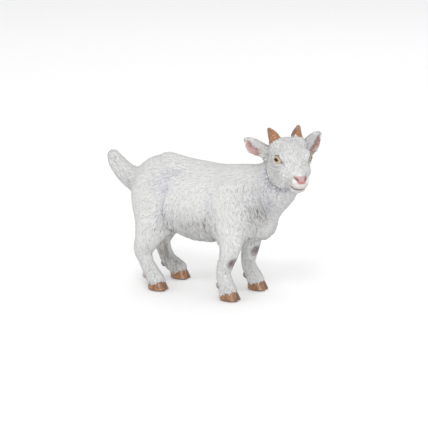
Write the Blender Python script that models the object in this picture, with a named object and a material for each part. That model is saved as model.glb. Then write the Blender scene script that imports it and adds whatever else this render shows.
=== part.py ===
"""A standing kid goat: a moulded toy figure about 70 mm long, head turned to its right, tail up.

The figure is one flesh, pressed together from simple forms, then parted by thin cuts into the
pieces a person names. All forms are written in millimetres: x forward, y to the goat's left,
z up, floor at z = 0. A form is a signed distance, negative inside, and forms blend softly.
"""

import itertools

import bmesh
import bpy
import numpy as np
from mathutils import Vector

MM = 0.001
GAP = 0.25  # clear space between parted pieces
SAME = 0.01  # points closer than this are one
REACH = 1.5  # how far outside its own surface a form can still matter
RIGHT, LEFT = -1, 1

# Driving places and sizes
HEAD_AT = (29.8, -5.4, 44.5)  # between the eyes, a little below them
HEAD_YAW = -46.0
EYE_AT, EYE_RADIUS = (0.3, 4.2, 0.45), 1.5
HORN_BASES = {RIGHT: (-4.4, -2.7, 2.6), LEFT: (-4.4, 3.15, 2.6)}
HORN_TIPS = {RIGHT: (-8.3, -4.1, 7.3), LEFT: (-8.3, 4.8, 7.5)}
EAR_BASES = {RIGHT: (-5.4, -4.2, 0.2), LEFT: (-5.4, 4.4, 0.2)}
EAR_TIPS = {RIGHT: (-9.9, -11.7, 4.9), LEFT: (-9.9, 13.1, 5.4)}
EAR_FACES = {RIGHT: (0.85, -0.25, -0.35), LEFT: (0.95, -0.3, -0.3)}
EAR_WIDTHS = {RIGHT: 5.5, LEFT: 6.0}
EAR_THICK = 0.9
EAR_HOLLOW = 0.9
EAR_BOW = 0.85
HOOF_SIZE = (6.1, 5.1)
HOOF_TAPER = 0.13  # each wall leans in this much for each unit of height
TOE_SLOPE = 0.25
FEET = {
    ("fore", RIGHT): (10.5, -6.5),
    ("fore", LEFT): (13.6, 6.75),
    ("hind", RIGHT): (-13.6, -6.75),
    ("hind", LEFT): (-12.9, 6.75),
}
PASTERN_X = {
    ("fore", RIGHT): 9.1,
    ("fore", LEFT): 11.7,
    ("hind", RIGHT): -15.8,
    ("hind", LEFT): -16.7,
}
SIDE_NAMES = {RIGHT: "right", LEFT: "left"}


# Forms ------------------------------------------------------------------------------------


def turned(yaw=0.0, pitch=0.0, roll=0.0):
    """Rotation in degrees: roll about x, then pitch nose-down about y, then yaw about z."""
    y, p, r = np.radians([yaw, pitch, roll])
    about_z = np.array([[np.cos(y), -np.sin(y), 0], [np.sin(y), np.cos(y), 0], [0, 0, 1]])
    about_y = np.array([[np.cos(p), 0, np.sin(p)], [0, 1, 0], [-np.sin(p), 0, np.cos(p)]])
    about_x = np.array([[1, 0, 0], [0, np.cos(r), -np.sin(r)], [0, np.sin(r), np.cos(r)]])
    return about_z @ about_y @ about_x


BODY = (np.zeros(3), np.eye(3))
HEAD = (np.array(HEAD_AT), turned(yaw=HEAD_YAW))


def joined(a, b, soft):
    mix = np.clip(0.5 + 0.5 * (b - a) / soft, 0, 1)
    return b + (a - b) * mix - soft * mix * (1 - mix)


def ball(at, radii, pitch=0.0, frame=BODY, blend=1.0):
    """An ellipsoid."""
    centre = frame[0] + frame[1] @ np.array(at, float)
    axes = frame[1] @ turned(pitch=pitch)
    radii = np.ones(3) * radii
    half = np.sqrt(((axes * radii) ** 2).sum(1))

    def distance(points):
        local = (points - centre) @ axes
        near = np.maximum(np.sqrt(((local / radii) ** 2).sum(-1)), 1e-3)
        slope = np.sqrt(((local / radii**2) ** 2).sum(-1))
        return near * (near - 1) / np.maximum(slope, 1e-3 / radii.max())

    return distance, centre - half, centre + half, blend


def smooth_path(stations, steps=5):
    """A Catmull-Rom curve through rows of numbers."""
    rows = np.array(stations, float)
    if len(rows) < 3:
        return rows
    rows = np.vstack([2 * rows[0] - rows[1], rows, 2 * rows[-1] - rows[-2]])
    path = []
    for before, start, end, after in zip(rows, rows[1:], rows[2:], rows[3:]):
        for t in np.linspace(0, 1, steps, endpoint=False):
            bend = 2 * before - 5 * start + 4 * end - after
            twist = 3 * start - before - 3 * end + after
            path.append(start + 0.5 * ((end - before) * t + bend * t**2 + twist * t**3))
    path.append(rows[-2])
    return np.array(path)


def limb(stations, frame=BODY, blend=1.0):
    """A round limb along stations of (x, y, z, radius)."""
    path = smooth_path(stations)
    centres = frame[0] + path[:, :3] @ frame[1].T
    radii = path[:, 3]

    def distance(points):
        nearest = np.full(points.shape[:-1], np.inf)
        for a, b, r, s in zip(centres, centres[1:], radii, radii[1:]):
            along = np.clip((points - a) @ (b - a) / ((b - a) @ (b - a)), 0, 1)
            off = points - a - along[..., None] * (b - a)
            nearest = np.minimum(nearest, np.sqrt((off**2).sum(-1)) - r - along * (s - r))
        return nearest

    widest = radii[:, None]
    return distance, (centres - widest).min(0), (centres + widest).max(0), blend


def leaf(base, tip, facing, width, thick, hollow, bow, frame=BODY):
    """An ear: a pointed leaf from base to tip, cupped on the side it faces, its edges bowed down."""
    base = frame[0] + frame[1] @ np.array(base, float)
    tip = frame[0] + frame[1] @ np.array(tip, float)
    length = np.linalg.norm(tip - base)
    along = (tip - base) / length
    facing = frame[1] @ np.array(facing, float)
    facing = facing - along * (facing @ along)
    facing = facing / np.linalg.norm(facing)
    across = np.cross(facing, along)
    drop = -bow * np.sign(across[2])
    widest_at = 0.36

    def distance(points):
        q = points - base
        t = np.clip(q @ along / length, 0, 1)
        rise = 0.65 + 0.35 * np.sin(np.pi / 2 * np.minimum(t / widest_at, 1))
        fall = (1 - (np.clip(t - widest_at, 0, 1) / (1 - widest_at)) ** 2.2) ** 0.72
        half = np.maximum(width / 2 * rise * fall, 0.05)
        side = q @ across - drop * np.sin(np.pi * t**0.8)
        cupped = q @ facing + hollow * (1 - (side / half) ** 2) * rise * fall
        edge = np.maximum(np.abs(side) - half + thick / 2, 0)
        shell = np.sqrt(edge**2 + cupped**2) - thick / 2
        return 0.8 * np.maximum(shell, np.maximum(q @ along - length, -(q @ along) - 1.0))

    ends = np.array([base - along, tip])
    reach = 0.6 * width + hollow
    return distance, ends.min(0) - reach, ends.max(0) + reach, 0.5


def claw(foot, inner_or_outer):
    """Half of a cloven hoof: sloping toe, rounded into the cleft beside its twin."""
    length, width = HOOF_SIZE
    middle = np.array([foot[0] + 0.4, foot[1], 0.0])
    centre = middle + (0, inner_or_outer * width / 4, 1.5)
    half = np.array([0.6 * length, 0.35 * width, 2.8])

    def distance(points):
        q = points - middle
        lean = HOOF_TAPER * q[..., 2]
        toe = np.abs(q[..., 0] + TOE_SLOPE * q[..., 2]) / (length / 2 - lean)
        side = np.abs(q[..., 1]) / (width / 2 - lean)
        wall = (toe**2.6 + side**2.6) ** (1 / 2.6) - 1
        cleft = GAP / 2 - inner_or_outer * q[..., 1]
        outer_wall = width / 2 * wall
        beside = -joined(-outer_wall, -cleft, 0.9)
        return np.maximum(0.8 * beside, np.maximum(-q[..., 2] - 0.5, q[..., 2] - 4.0))

    return distance, centre - half, centre + half, 0.4


def dewclaw(kind, side, inner_or_outer):
    """A spur on the back of the pastern, where a line from behind first meets the leg."""
    x, y = FEET[kind, side]
    y, z = y + inner_or_outer * 1.35, 4.3
    line = np.stack(np.broadcast_arrays(np.arange(x - 8, x, 0.05), y, z), -1)
    back = line[leg_form(kind, side)[0](line) < 0][0, 0]
    return ball((back - 0.1, y, z), (0.9, 0.65, 1.15), -30)


def eye(side):
    x, y, z = EYE_AT
    return ball((x, side * y, z), EYE_RADIUS, frame=HEAD)


def nose_pad():
    return ball((6.35, 0, -4.6), (1.2, 1.9, 1.0), 25, HEAD)


def horn(side):
    stations = [(*HORN_BASES[side], 1.9), (-6.2, side * 3.5, 5.5, 1.4), (*HORN_TIPS[side], 0.6)]
    return limb(stations, HEAD)


def ear(side):
    lie = (EAR_BASES[side], EAR_TIPS[side], EAR_FACES[side])
    return leaf(*lie, EAR_WIDTHS[side], EAR_THICK, EAR_HOLLOW, EAR_BOW, HEAD)


def trunk_forms():
    forms = [
        ball((0, 0, 27.3), (19.5, 9.0, 11.7)),  # barrel
        ball((-14.2, 0, 30.2), (10.4, 8.3, 10.3), 4, blend=4),  # croup
        ball((12, 0, 28.2), (9.2, 8.0, 10.8), -10, blend=4),  # chest
        ball((16.6, 0, 25.4), (4.6, 5.2, 6.6), -22, blend=3),  # brisket
        limb(
            [(14, 0, 35.6, 3.2), (4, 0, 36.4, 2.4), (-6, 0, 37.5, 2.4), (-13, 0, 38.4, 2.2)],
            blend=3,
        ),  # spine
        limb(
            [
                (-21.5, 0, 31.0, 4.0),
                (-25.2, 0, 32.2, 3.4),
                (-28.5, 0, 34.2, 2.8),
                (-30.9, 0, 36.6, 2.3),
                (-32.1, 0, 38.4, 1.7),
            ],
            blend=2.5,
        ),  # tail
    ]
    for side in (RIGHT, LEFT):
        forms.append(ball((9.8, side * 5.9, 25.4), (5.0, 3.3, 9.2), 8, blend=2.5))  # shoulder
        forms.append(ball((-15.6, side * 5.4, 25.8), (7.0, 3.9, 9.6), -8, blend=2.5))  # thigh
    return forms


def neck_form():
    low = [(12, 0, 29.6, 9.2), (19.0, 0.2, 33.1, 7.8)]
    high = [(23.5, -0.4, 37.3, 6.3), (26.4, -1.6, 41, 5.4)]
    return limb(low + high, blend=3)


def leg_form(kind, side):
    x, y = FEET[kind, side]
    pastern = PASTERN_X[kind, side]
    if kind == "fore":
        elbow, knee, shin = (10.5, 9.5, 8.5) if side == RIGHT else (11.5, 11.0, 10.5)
        stations = [(elbow - 0.2, side * 6.0, 21, 4.4), (elbow, side * 6.4, 16.5, 3.3)]
        stations += [(knee, y, 12.0, 2.5), (shin, y, 8.2, 1.95), (pastern, y, 5.2, 2.15)]
        blend = 1.5
    else:
        hock, shin = (-18.3, -17.5) if side == RIGHT else (-19.2, -18.4)
        stations = [(-15.2, side * 6.0, 21, 5.4), (-16.6, side * 6.4, 16.8, 4.2)]
        stations += [(hock, y, 12.2, 2.8), (shin, y, 8.8, 2.05), (pastern, y, 5.4, 2.15)]
        blend = 2.0
    stations.append((x - 0.6, y, 3.0, 2.45))
    return limb(stations, blend=blend)


def head_forms():
    forms = [
        ball((-4.4, 0, 0.2), (5.9, 5.2, 4.9), frame=HEAD, blend=2),  # skull
        ball((-1.8, 0, 0.2), (4.0, 4.6, 3.9), 25, HEAD, 1.5),  # forehead
        limb([(-1, 0, -1.2, 4.0), (2.5, 0, -3.4, 3.1), (5.0, 0, -5.0, 2.4)], HEAD, 1.5),  # nose
        ball((4.6, 0, -6.0), (2.7, 2.8, 2.5), frame=HEAD, blend=1.2),  # muzzle
        limb([(-4.5, 0, -5.2, 3.3), (3.6, 0, -7.0, 1.8)], HEAD, 1.5),  # jaw
    ]
    for side in (RIGHT, LEFT):
        forms += [
            ball((-3.4, side * 2.9, -4.0), (4.7, 2.5, 4.4), frame=HEAD, blend=1.2),  # cheek
            ball((0.7, side * 2.6, -2.9), (3.4, 2.25, 3.1), frame=HEAD, blend=1.2),  # mid-face
            ball((-4.6, side * 3.0, 2.4), (2.6, 2.2, 2.6), frame=HEAD, blend=1.5),  # horn boss
            ball((-0.2, side * 3.7, 0.6), (2.6, 1.7, 2.1), frame=HEAD, blend=1.2),  # eye ridge
        ]
    return forms


def flesh_forms():
    forms = trunk_forms()
    forms.append(neck_form())
    forms += [leg_form(kind, side) for kind, side in FEET]
    return forms + head_forms()


# Meshing ----------------------------------------------------------------------------------


def field(forms, points):
    """Signed distance of all the forms blended in turn."""
    total = np.full(points.shape[:-1], 99.0)
    for distance, low, high, soft in forms:
        reach = soft + REACH
        near = ((points > low - reach) & (points < high + reach)).all(-1)
        total[near] = joined(total[near], distance(points[near]), soft)
    return total


def slopes(distance, points, step=0.02):
    shifts = step * np.eye(3)
    rise = [distance(points + shift) - distance(points - shift) for shift in shifts]
    grad = np.stack(rise, -1) / (2 * step)
    return grad / np.maximum(np.linalg.norm(grad, axis=-1, keepdims=True), 1e-9)


def is_odd(order):
    return sum(a > b for i, a in enumerate(order) for b in order[i + 1 :]) % 2 == 1


def faces_in_tetrahedron(inside):
    """Faces that part the inside corners from the rest, as (corner, corner) edges turned out."""
    few = [corner for corner in range(4) if inside[corner]]
    rest = [corner for corner in range(4) if not inside[corner]]
    turned_in = len(few) == 3
    if turned_in:
        few, rest = rest, few
    if is_odd(few + rest):
        rest[-2:] = rest[:-3:-1]
    if len(few) == 1:
        faces = [[(few[0], rest[0]), (few[0], rest[1]), (few[0], rest[2])]]
    else:
        a, b, c, d = few + rest
        faces = [[(a, c), (a, d), (b, d)], [(a, c), (b, d), (b, c)]]
    return [face[::-1] if turned_in else face for face in faces]


def triangles_around(distance, low, high, step):
    """Marching tetrahedra: a closed triangle mesh where the field crosses zero."""
    axes = [np.arange(a, b + step, step) for a, b in zip(low, high)]
    grid = np.stack(np.meshgrid(*axes, indexing="ij"), -1)
    values = distance(grid.reshape(-1, 3)).reshape(grid.shape[:-1])
    rim = np.ones(values.shape, bool)
    rim[1:-1, 1:-1, 1:-1] = False
    values[rim] = np.maximum(values[rim], step)  # closed where the box ends
    strides = np.array([values.shape[1] * values.shape[2], values.shape[2], 1])
    values = values.reshape(-1)
    inside = values < 0
    cells = np.stack(np.meshgrid(*[np.arange(n - 1) for n in grid.shape[:-1]], indexing="ij"), -1)
    cells = cells.reshape(-1, 3) @ strides
    offsets = [np.array(corner) @ strides for corner in np.ndindex(2, 2, 2)]
    full = sum(inside[cells + offset].astype(int) for offset in offsets)
    cells = cells[(full > 0) & (full < 8)]
    edges = []
    for order in itertools.permutations(range(3)):
        path = np.cumsum([0, *strides[list(order)]])
        corners = cells[:, None] + path
        codes = inside[corners] @ [1, 2, 4, 8]
        for code in range(1, 15):
            found = corners[codes == code]
            for face in faces_in_tetrahedron([code >> bit & 1 for bit in range(4)]):
                ends = np.stack([found[:, list(edge)] for edge in face], 1)
                edges.append(ends[:, ::-1] if is_odd(order) else ends)
    ends = np.sort(np.concatenate(edges).reshape(-1, 2), 1)
    ends, triangles = np.unique(ends, axis=0, return_inverse=True)
    first, second = values[ends].T
    share = np.clip(first / (first - second), 0.1, 0.9)[:, None]
    places = grid.reshape(-1, 3)[ends]
    points = places[:, 0] + share * (places[:, 1] - places[:, 0])
    return points, triangles.reshape(-1, 3)


def settled(distance, points, rounds=3, most=0.2):
    """Each point moved onto the surface along its slope."""
    for _ in range(rounds):
        off = np.clip(distance(points), -most, most)
        points = points - off[:, None] * slopes(distance, points)
    return points


def mesh_from(distance, low, high, step, triangles):
    """A closed mesh of a field, in metres, thinned to about this many triangles."""
    points, faces = triangles_around(distance, np.array(low, float), np.array(high, float), step)
    points = settled(distance, points)
    fine = bpy.data.meshes.new("fine")
    fine.from_pydata((points * MM).tolist(), [], faces.tolist())
    helper = bpy.data.objects.new("fine", fine)
    bpy.context.scene.collection.objects.link(helper)
    thin = helper.modifiers.new("thin", "DECIMATE")
    thin.ratio = min(1.0, triangles / len(faces))
    thin.use_collapse_triangulate = True
    graph = bpy.context.evaluated_depsgraph_get()
    mesh = bpy.data.meshes.new_from_object(helper.evaluated_get(graph))
    bpy.data.objects.remove(helper)
    bpy.data.meshes.remove(fine)
    return mesh


# Thin cuts --------------------------------------------------------------------------------


def plane(at, outward, frame=BODY):
    """A cut as (point, outward unit normal)."""
    normal = frame[1] @ np.array(outward, float)
    return frame[0] + frame[1] @ np.array(at, float), normal / np.linalg.norm(normal)


def flipped(cut):
    return cut[0], -cut[1]


def beyond(cut, points):
    return (points - cut[0]) @ cut[1]


def trimmed(mesh, cuts):
    """The mesh kept behind each cut, half a gap short of it, and capped flat."""
    shape = bmesh.new()
    shape.from_mesh(mesh)
    for at, normal in cuts:
        everything = shape.verts[:] + shape.edges[:] + shape.faces[:]
        at = Vector((at - normal * GAP / 2) * MM)
        bmesh.ops.bisect_plane(
            shape,
            geom=everything,
            dist=SAME * MM / 2,
            plane_co=at,
            plane_no=Vector(normal),
            clear_outer=True,
        )
        bmesh.ops.remove_doubles(shape, verts=shape.verts[:], dist=SAME * MM)
        rim = [edge for edge in shape.edges if edge.is_boundary]
        bmesh.ops.holes_fill(shape, edges=rim, sides=0)
    bmesh.ops.triangulate(shape, faces=shape.faces[:])
    shape.to_mesh(mesh)
    shape.free()
    return mesh


HEAD_CUT = plane((-6.96, 0, -5.22), (-0.8, 0, -0.6), HEAD)
NECK_CUT = plane((17.0, 0, 31.4), (-0.726, 0, -0.688))
TAIL_CUT = plane((-24.0, 0, 32.6), (0.83, 0, -0.55))
SOLE_CUT = plane((0, 0, -GAP / 2), (0, 0, -1))


def knee_cut(kind):
    """Outward from the upper leg."""
    return plane((0, 0, 11.0), (0, 0, -1)) if kind == "fore" else plane((-18, 0, 11.2), (0.2, 0, -1))


def hoof_cut(kind, side):
    """The coronet, higher at the toe than at the heel; outward from the lower leg."""
    return plane((FEET[kind, side][0], 0, 2.75), (0.16, 0, -1))


def leg_cuts(kind, side):
    """The planes around a leg's root: above it, inside it and before or behind it."""
    inner = plane((0, side * 3.3, 0), (0, -side, 0))
    if kind == "hind":
        top = plane((-15.5, 0, 26.5), (0.5, 0, 0.866))
        return [top, inner, plane((-8.2, 0, 0), (1, 0, 0)), flipped(TAIL_CUT)]
    x = 10.6 if side == RIGHT else 11.6
    top = plane((x, 0, 23.0), (-0.42, 0, 0.91))
    return [top, inner, plane((x + 4.9, 0, 0), (1, 0, 0)), plane((x - 5.4, 0, 0), (-1, 0, 0))]


def leg_block(kind, side, root):
    """A wire block on the leg's side of its cuts, a gap larger, that clears the trunk there."""
    shape = bmesh.new()
    bmesh.ops.create_cube(shape, size=100 * MM)
    mesh = bpy.data.meshes.new(f"cutter_{kind}_{SIDE_NAMES[side]}")
    shape.to_mesh(mesh)
    shape.free()
    grown = [(at + GAP * normal, normal) for at, normal in leg_cuts(kind, side)]
    block = bpy.data.objects.new(mesh.name, trimmed(mesh, grown))
    bpy.context.scene.collection.objects.link(block)
    block.parent = root
    block.hide_render = True
    block.display_type = "WIRE"
    return block


# Objects ----------------------------------------------------------------------------------


def material(name, colour, roughness):
    made = bpy.data.materials.new(name)
    made.use_nodes = True
    shader = made.node_tree.nodes["Principled BSDF"]
    shader.inputs["Base Color"].default_value = (*colour, 1)
    shader.inputs["Roughness"].default_value = roughness
    shader.inputs["Metallic"].default_value = 0.0
    return made


FINISHES = {
    "coat": ((0.80, 0.78, 0.76), 0.75),
    "horn": ((0.36, 0.19, 0.10), 0.45),
    "hoof": ((0.40, 0.21, 0.11), 0.40),
    "dewclaw": ((0.33, 0.28, 0.29), 0.55),
    "eye": ((0.62, 0.52, 0.24), 0.15),
    "nose": ((0.72, 0.42, 0.40), 0.45),
}


def add_node(name, mesh, finish, root):
    """The mesh as a named object whose origin is its own middle."""
    corners = np.array([vertex.co for vertex in mesh.vertices])
    middle = Vector((corners.min(0) + corners.max(0)) / 2)
    for vertex in mesh.vertices:
        vertex.co -= middle
    mesh.name = name
    mesh.materials.clear()
    mesh.materials.append(material(f"{name}_{finish}", *FINISHES[finish]))
    mesh.shade_smooth()
    mesh.set_sharp_from_angle(angle=np.radians(40))
    node = bpy.data.objects.new(name, mesh)
    node.location = middle
    node.parent = root
    bpy.context.scene.collection.objects.link(node)
    return node


def flesh_mesh(low, high, step, triangles, cuts=(), holes=()):
    """Flesh inside a box, kept a margin past its cuts, with clear pockets around the holes."""
    forms = flesh_forms()
    margin = 1.5 * step

    def distance(points):
        value = field(forms, points)
        for cut in cuts:
            value = np.maximum(value, beyond(cut, points) - margin)
        for hole, clearance in holes:
            value = np.maximum(value, clearance - hole[0](points))
        return value

    return trimmed(mesh_from(distance, low, high, step, triangles), cuts)


def piece_mesh(form, step, triangles, clear_of_flesh=True, cuts=()):
    """One form alone, or what of it stands clear of the flesh."""
    distance, low, high, _ = form
    forms = flesh_forms()

    def outside_flesh(points):
        return np.maximum(distance(points), GAP - field(forms, points))

    shape = outside_flesh if clear_of_flesh else distance
    return trimmed(mesh_from(shape, low - 2 * step, high + 2 * step, step, triangles), cuts)


def add_head(root):
    holes = [(eye(side), GAP / 2) for side in (RIGHT, LEFT)] + [(nose_pad(), GAP / 2)]
    low, high = HEAD[0] - (13, 13, 12), HEAD[0] + (12, 13, 9)
    add_node("head", flesh_mesh(low, high, 0.34, 2100, [HEAD_CUT], holes), "coat", root)
    add_node("nose_pad", piece_mesh(nose_pad(), 0.22, 100, False), "nose", root)
    for side in (RIGHT, LEFT):
        name = SIDE_NAMES[side]
        add_node(f"ear_{name}", piece_mesh(ear(side), 0.3, 260), "coat", root)
        add_node(f"horn_{name}", piece_mesh(horn(side), 0.25, 130), "horn", root)
        add_node(f"eye_{name}", piece_mesh(eye(side), 0.25, 120, False), "eye", root)


def add_trunk(root):
    neck = flesh_mesh((8, -11, 24), (33, 11, 48), 0.6, 620, [flipped(HEAD_CUT), NECK_CUT])
    add_node("neck", neck, "coat", root)
    tail = flesh_mesh((-35, -6, 24), (-20, 6, 42), 0.45, 260, [TAIL_CUT])
    add_node("tail", tail, "coat", root)
    cuts = [flipped(NECK_CUT), flipped(TAIL_CUT)]
    trunk_mesh = flesh_mesh((-28, -13, 12), (26, 13, 44), 0.6, 1750, cuts)
    trunk = add_node("trunk", trunk_mesh, "coat", root)
    for kind, side in FEET:
        cut = trunk.modifiers.new(f"{kind}_{SIDE_NAMES[side]}", "BOOLEAN")
        cut.operation = "DIFFERENCE"
        cut.object = leg_block(kind, side, root)


def add_leg(kind, side, root):
    x, y = FEET[kind, side]
    name = f"{kind}leg_{SIDE_NAMES[side]}"
    low, high = (x - 14, y - 6.5, 9.0), (x + 9, y + 6.5, 34)
    knee = knee_cut(kind)
    upper = flesh_mesh(low, high, 0.5, 400, [*leg_cuts(kind, side), knee])
    add_node(f"{name}_upper", upper, "coat", root)
    coronet = hoof_cut(kind, side)
    low, high = (x - 10, y - 4.5, 0.0), (x + 5, y + 4.5, 14)
    places = {"inner": -side, "outer": side}
    spurs = {where: dewclaw(kind, side, toward) for where, toward in places.items()}
    pockets = [(form, GAP) for form in spurs.values()]
    lower = flesh_mesh(low, high, 0.33, 330, [flipped(knee), coronet], pockets)
    add_node(f"{name}_lower", lower, "coat", root)
    for where, toward in places.items():
        hoof = piece_mesh(claw((x, y), toward), 0.25, 70, False, [flipped(coronet), SOLE_CUT])
        add_node(f"hoof_{name}_{where}", hoof, "hoof", root)
        spur = piece_mesh(spurs[where], 0.25, 40, False)
        add_node(f"dewclaw_{name}_{where}", spur, "dewclaw", root)


def stand_on_origin(root):
    """Moves the whole figure so that the middle of its box, on the floor, is the origin."""
    nodes = [thing for thing in root.children if not thing.hide_render]
    corners = [np.array(thing.bound_box) + thing.location for thing in nodes]
    corners = np.concatenate(corners)
    low, high = corners.min(0), corners.max(0)
    root.location = (-(low[0] + high[0]) / 2, -(low[1] + high[1]) / 2, -low[2])


def main():
    for thing in list(bpy.data.objects):
        bpy.data.objects.remove(thing)
    root = bpy.data.objects.new("goat", None)
    bpy.context.scene.collection.objects.link(root)
    add_head(root)
    add_trunk(root)
    for kind, side in FEET:
        add_leg(kind, side, root)
    stand_on_origin(root)


main()
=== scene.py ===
"""Looks of the kid goat, a painted moulded toy: one skin with a sculpted coat of tufts over it,
and its eyes, horns, hooves and dewclaws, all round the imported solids.

The figure's forms are those of the solids, in millimetres, with finer detail: x forward, y to
the goat's left, z up. A form is a signed distance, negative inside, and forms blend softly.
The solids' eyes say where the figure stands in the frame. A coat guide says which way the coat
lies at a place and of which kind it is there, and both blend from guide to guide.
"""

import bmesh
import bpy
import numpy as np
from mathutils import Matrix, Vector
from mathutils.bvhtree import BVHTree
from mathutils.kdtree import KDTree


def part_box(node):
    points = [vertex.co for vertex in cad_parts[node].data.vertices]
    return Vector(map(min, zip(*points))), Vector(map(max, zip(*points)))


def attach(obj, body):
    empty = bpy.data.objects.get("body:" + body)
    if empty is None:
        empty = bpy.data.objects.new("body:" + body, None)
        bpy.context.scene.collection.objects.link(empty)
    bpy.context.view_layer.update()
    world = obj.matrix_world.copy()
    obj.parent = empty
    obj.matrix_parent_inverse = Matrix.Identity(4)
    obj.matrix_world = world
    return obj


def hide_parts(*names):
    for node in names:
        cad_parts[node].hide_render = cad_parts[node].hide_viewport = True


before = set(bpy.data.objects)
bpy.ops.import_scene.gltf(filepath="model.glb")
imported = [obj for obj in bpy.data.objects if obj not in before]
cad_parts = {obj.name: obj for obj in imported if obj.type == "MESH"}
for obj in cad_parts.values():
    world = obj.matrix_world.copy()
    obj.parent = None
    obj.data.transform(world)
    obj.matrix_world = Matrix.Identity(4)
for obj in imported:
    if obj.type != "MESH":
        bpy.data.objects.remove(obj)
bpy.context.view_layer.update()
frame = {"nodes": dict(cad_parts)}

MM = 0.001
REACH = 1.5  # how far outside its own surface a form can still matter
RIGHT, LEFT = SIDES = (-1, 1)
SIDE_NAMES = {RIGHT: "right", LEFT: "left"}
SEED = 7

# The figure's driving places and sizes
HEAD_AT = (29.8, -5.4, 44.5)
HEAD_YAW = -46.0
EYE_AT, EYE_RADIUS = (0.3, 4.2, 0.45), 1.5
HORN_BASES = {RIGHT: (-4.4, -2.7, 2.6), LEFT: (-4.4, 3.15, 2.6)}
HORN_TIPS = {RIGHT: (-8.3, -4.1, 7.3), LEFT: (-8.3, 4.8, 7.5)}
HORN_COLLARS = [(-4.8, -2.7, 3.0), (-4.7, 0.4, 3.2), (-4.8, 3.3, 3.4)]
HORN_COLLAR = (2.1, 2.1, 2.0)
HORN_RING, HOOF_RING = 0.95, 0.55  # from one growth ring to the next
EAR_BASES = {RIGHT: (-5.4, -4.2, 0.2), LEFT: (-5.4, 4.4, 0.2)}
EAR_TIPS = {RIGHT: (-9.8, -11.2, 4.7), LEFT: (-9.8, 12.4, 5.1)}
EAR_FACES = {RIGHT: (0.85, -0.25, -0.35), LEFT: (0.95, -0.3, -0.3)}
EAR_WIDTHS = {RIGHT: 5.5, LEFT: 6.0}
EAR_THICK = 0.85
EAR_HOLLOW = 1.1
EAR_BOW = 0.85
HOOF_SIZE = (6.4, 5.35)
HOOF_TAPER = 0.13
TOE_SLOPE = 0.25
CLEFT = 0.14
CORONET = 2.5  # height of the hair line above the middle of a hoof
FEET = {
    ("fore", RIGHT): (10.5, -6.5),
    ("fore", LEFT): (13.6, 6.75),
    ("hind", RIGHT): (-13.6, -6.75),
    ("hind", LEFT): (-12.9, 6.75),
}
PASTERN_X = {
    ("fore", RIGHT): 9.1,
    ("fore", LEFT): 11.7,
    ("hind", RIGHT): -15.8,
    ("hind", LEFT): -16.7,
}
KNEES = {RIGHT: (11.7, -7.0, 11.6), LEFT: (13.2, 6.2, 12.6)}

# How far the skin lies inside the solids, which hold the tips of the coat
COAT_BODY, COAT_LEG, COAT_HEAD, COAT_EAR = 0.24, 0.24, 0.24, 0.04

# The coat's kinds: tuft length, width, height, lift of the tip, how deep the clumps are, and how grey
# its hollows are painted, partly the toy's washes and partly painted shade
KINDS = {
    "flank": (2.3, 0.40, 0.09, 0.02, 0.04, 0.15),
    "back": (2.4, 0.42, 0.11, 0.03, 0.05, 0.25),
    "belly": (3.0, 0.60, 0.46, 0.16, 0.34, 1.0),
    "chest": (2.4, 0.62, 0.50, 0.18, 0.40, 1.0),
    "throat": (1.8, 0.50, 0.32, 0.12, 0.24, 0.8),
    "thigh": (2.2, 0.42, 0.12, 0.03, 0.05, 0.2),
    "tail": (2.4, 0.50, 0.28, 0.14, 0.10, 0.5),
    "leg": (1.6, 0.44, 0.24, 0.08, 0.10, 0.3),
    "fetlock": (0.95, 0.42, 0.26, 0.14, 0.10, 0.4),
    "cheek": (1.5, 0.50, 0.30, 0.2, 0.12, 0.35),
    "ruff": (1.9, 0.56, 0.42, 0.28, 0.18, 1.0),
    "face": (1.2, 0.44, 0.20, 0.11, 0.08, 0.3),
    "muzzle": (0.8, 0.30, 0.10, 0.02, 0.02, 0.5),
    "crown": (1.1, 0.42, 0.20, 0.12, 0.08, 0.6),
    "ear": (1.6, 0.40, 0.18, 0.06, 0.00, 0.6),
}

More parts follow.
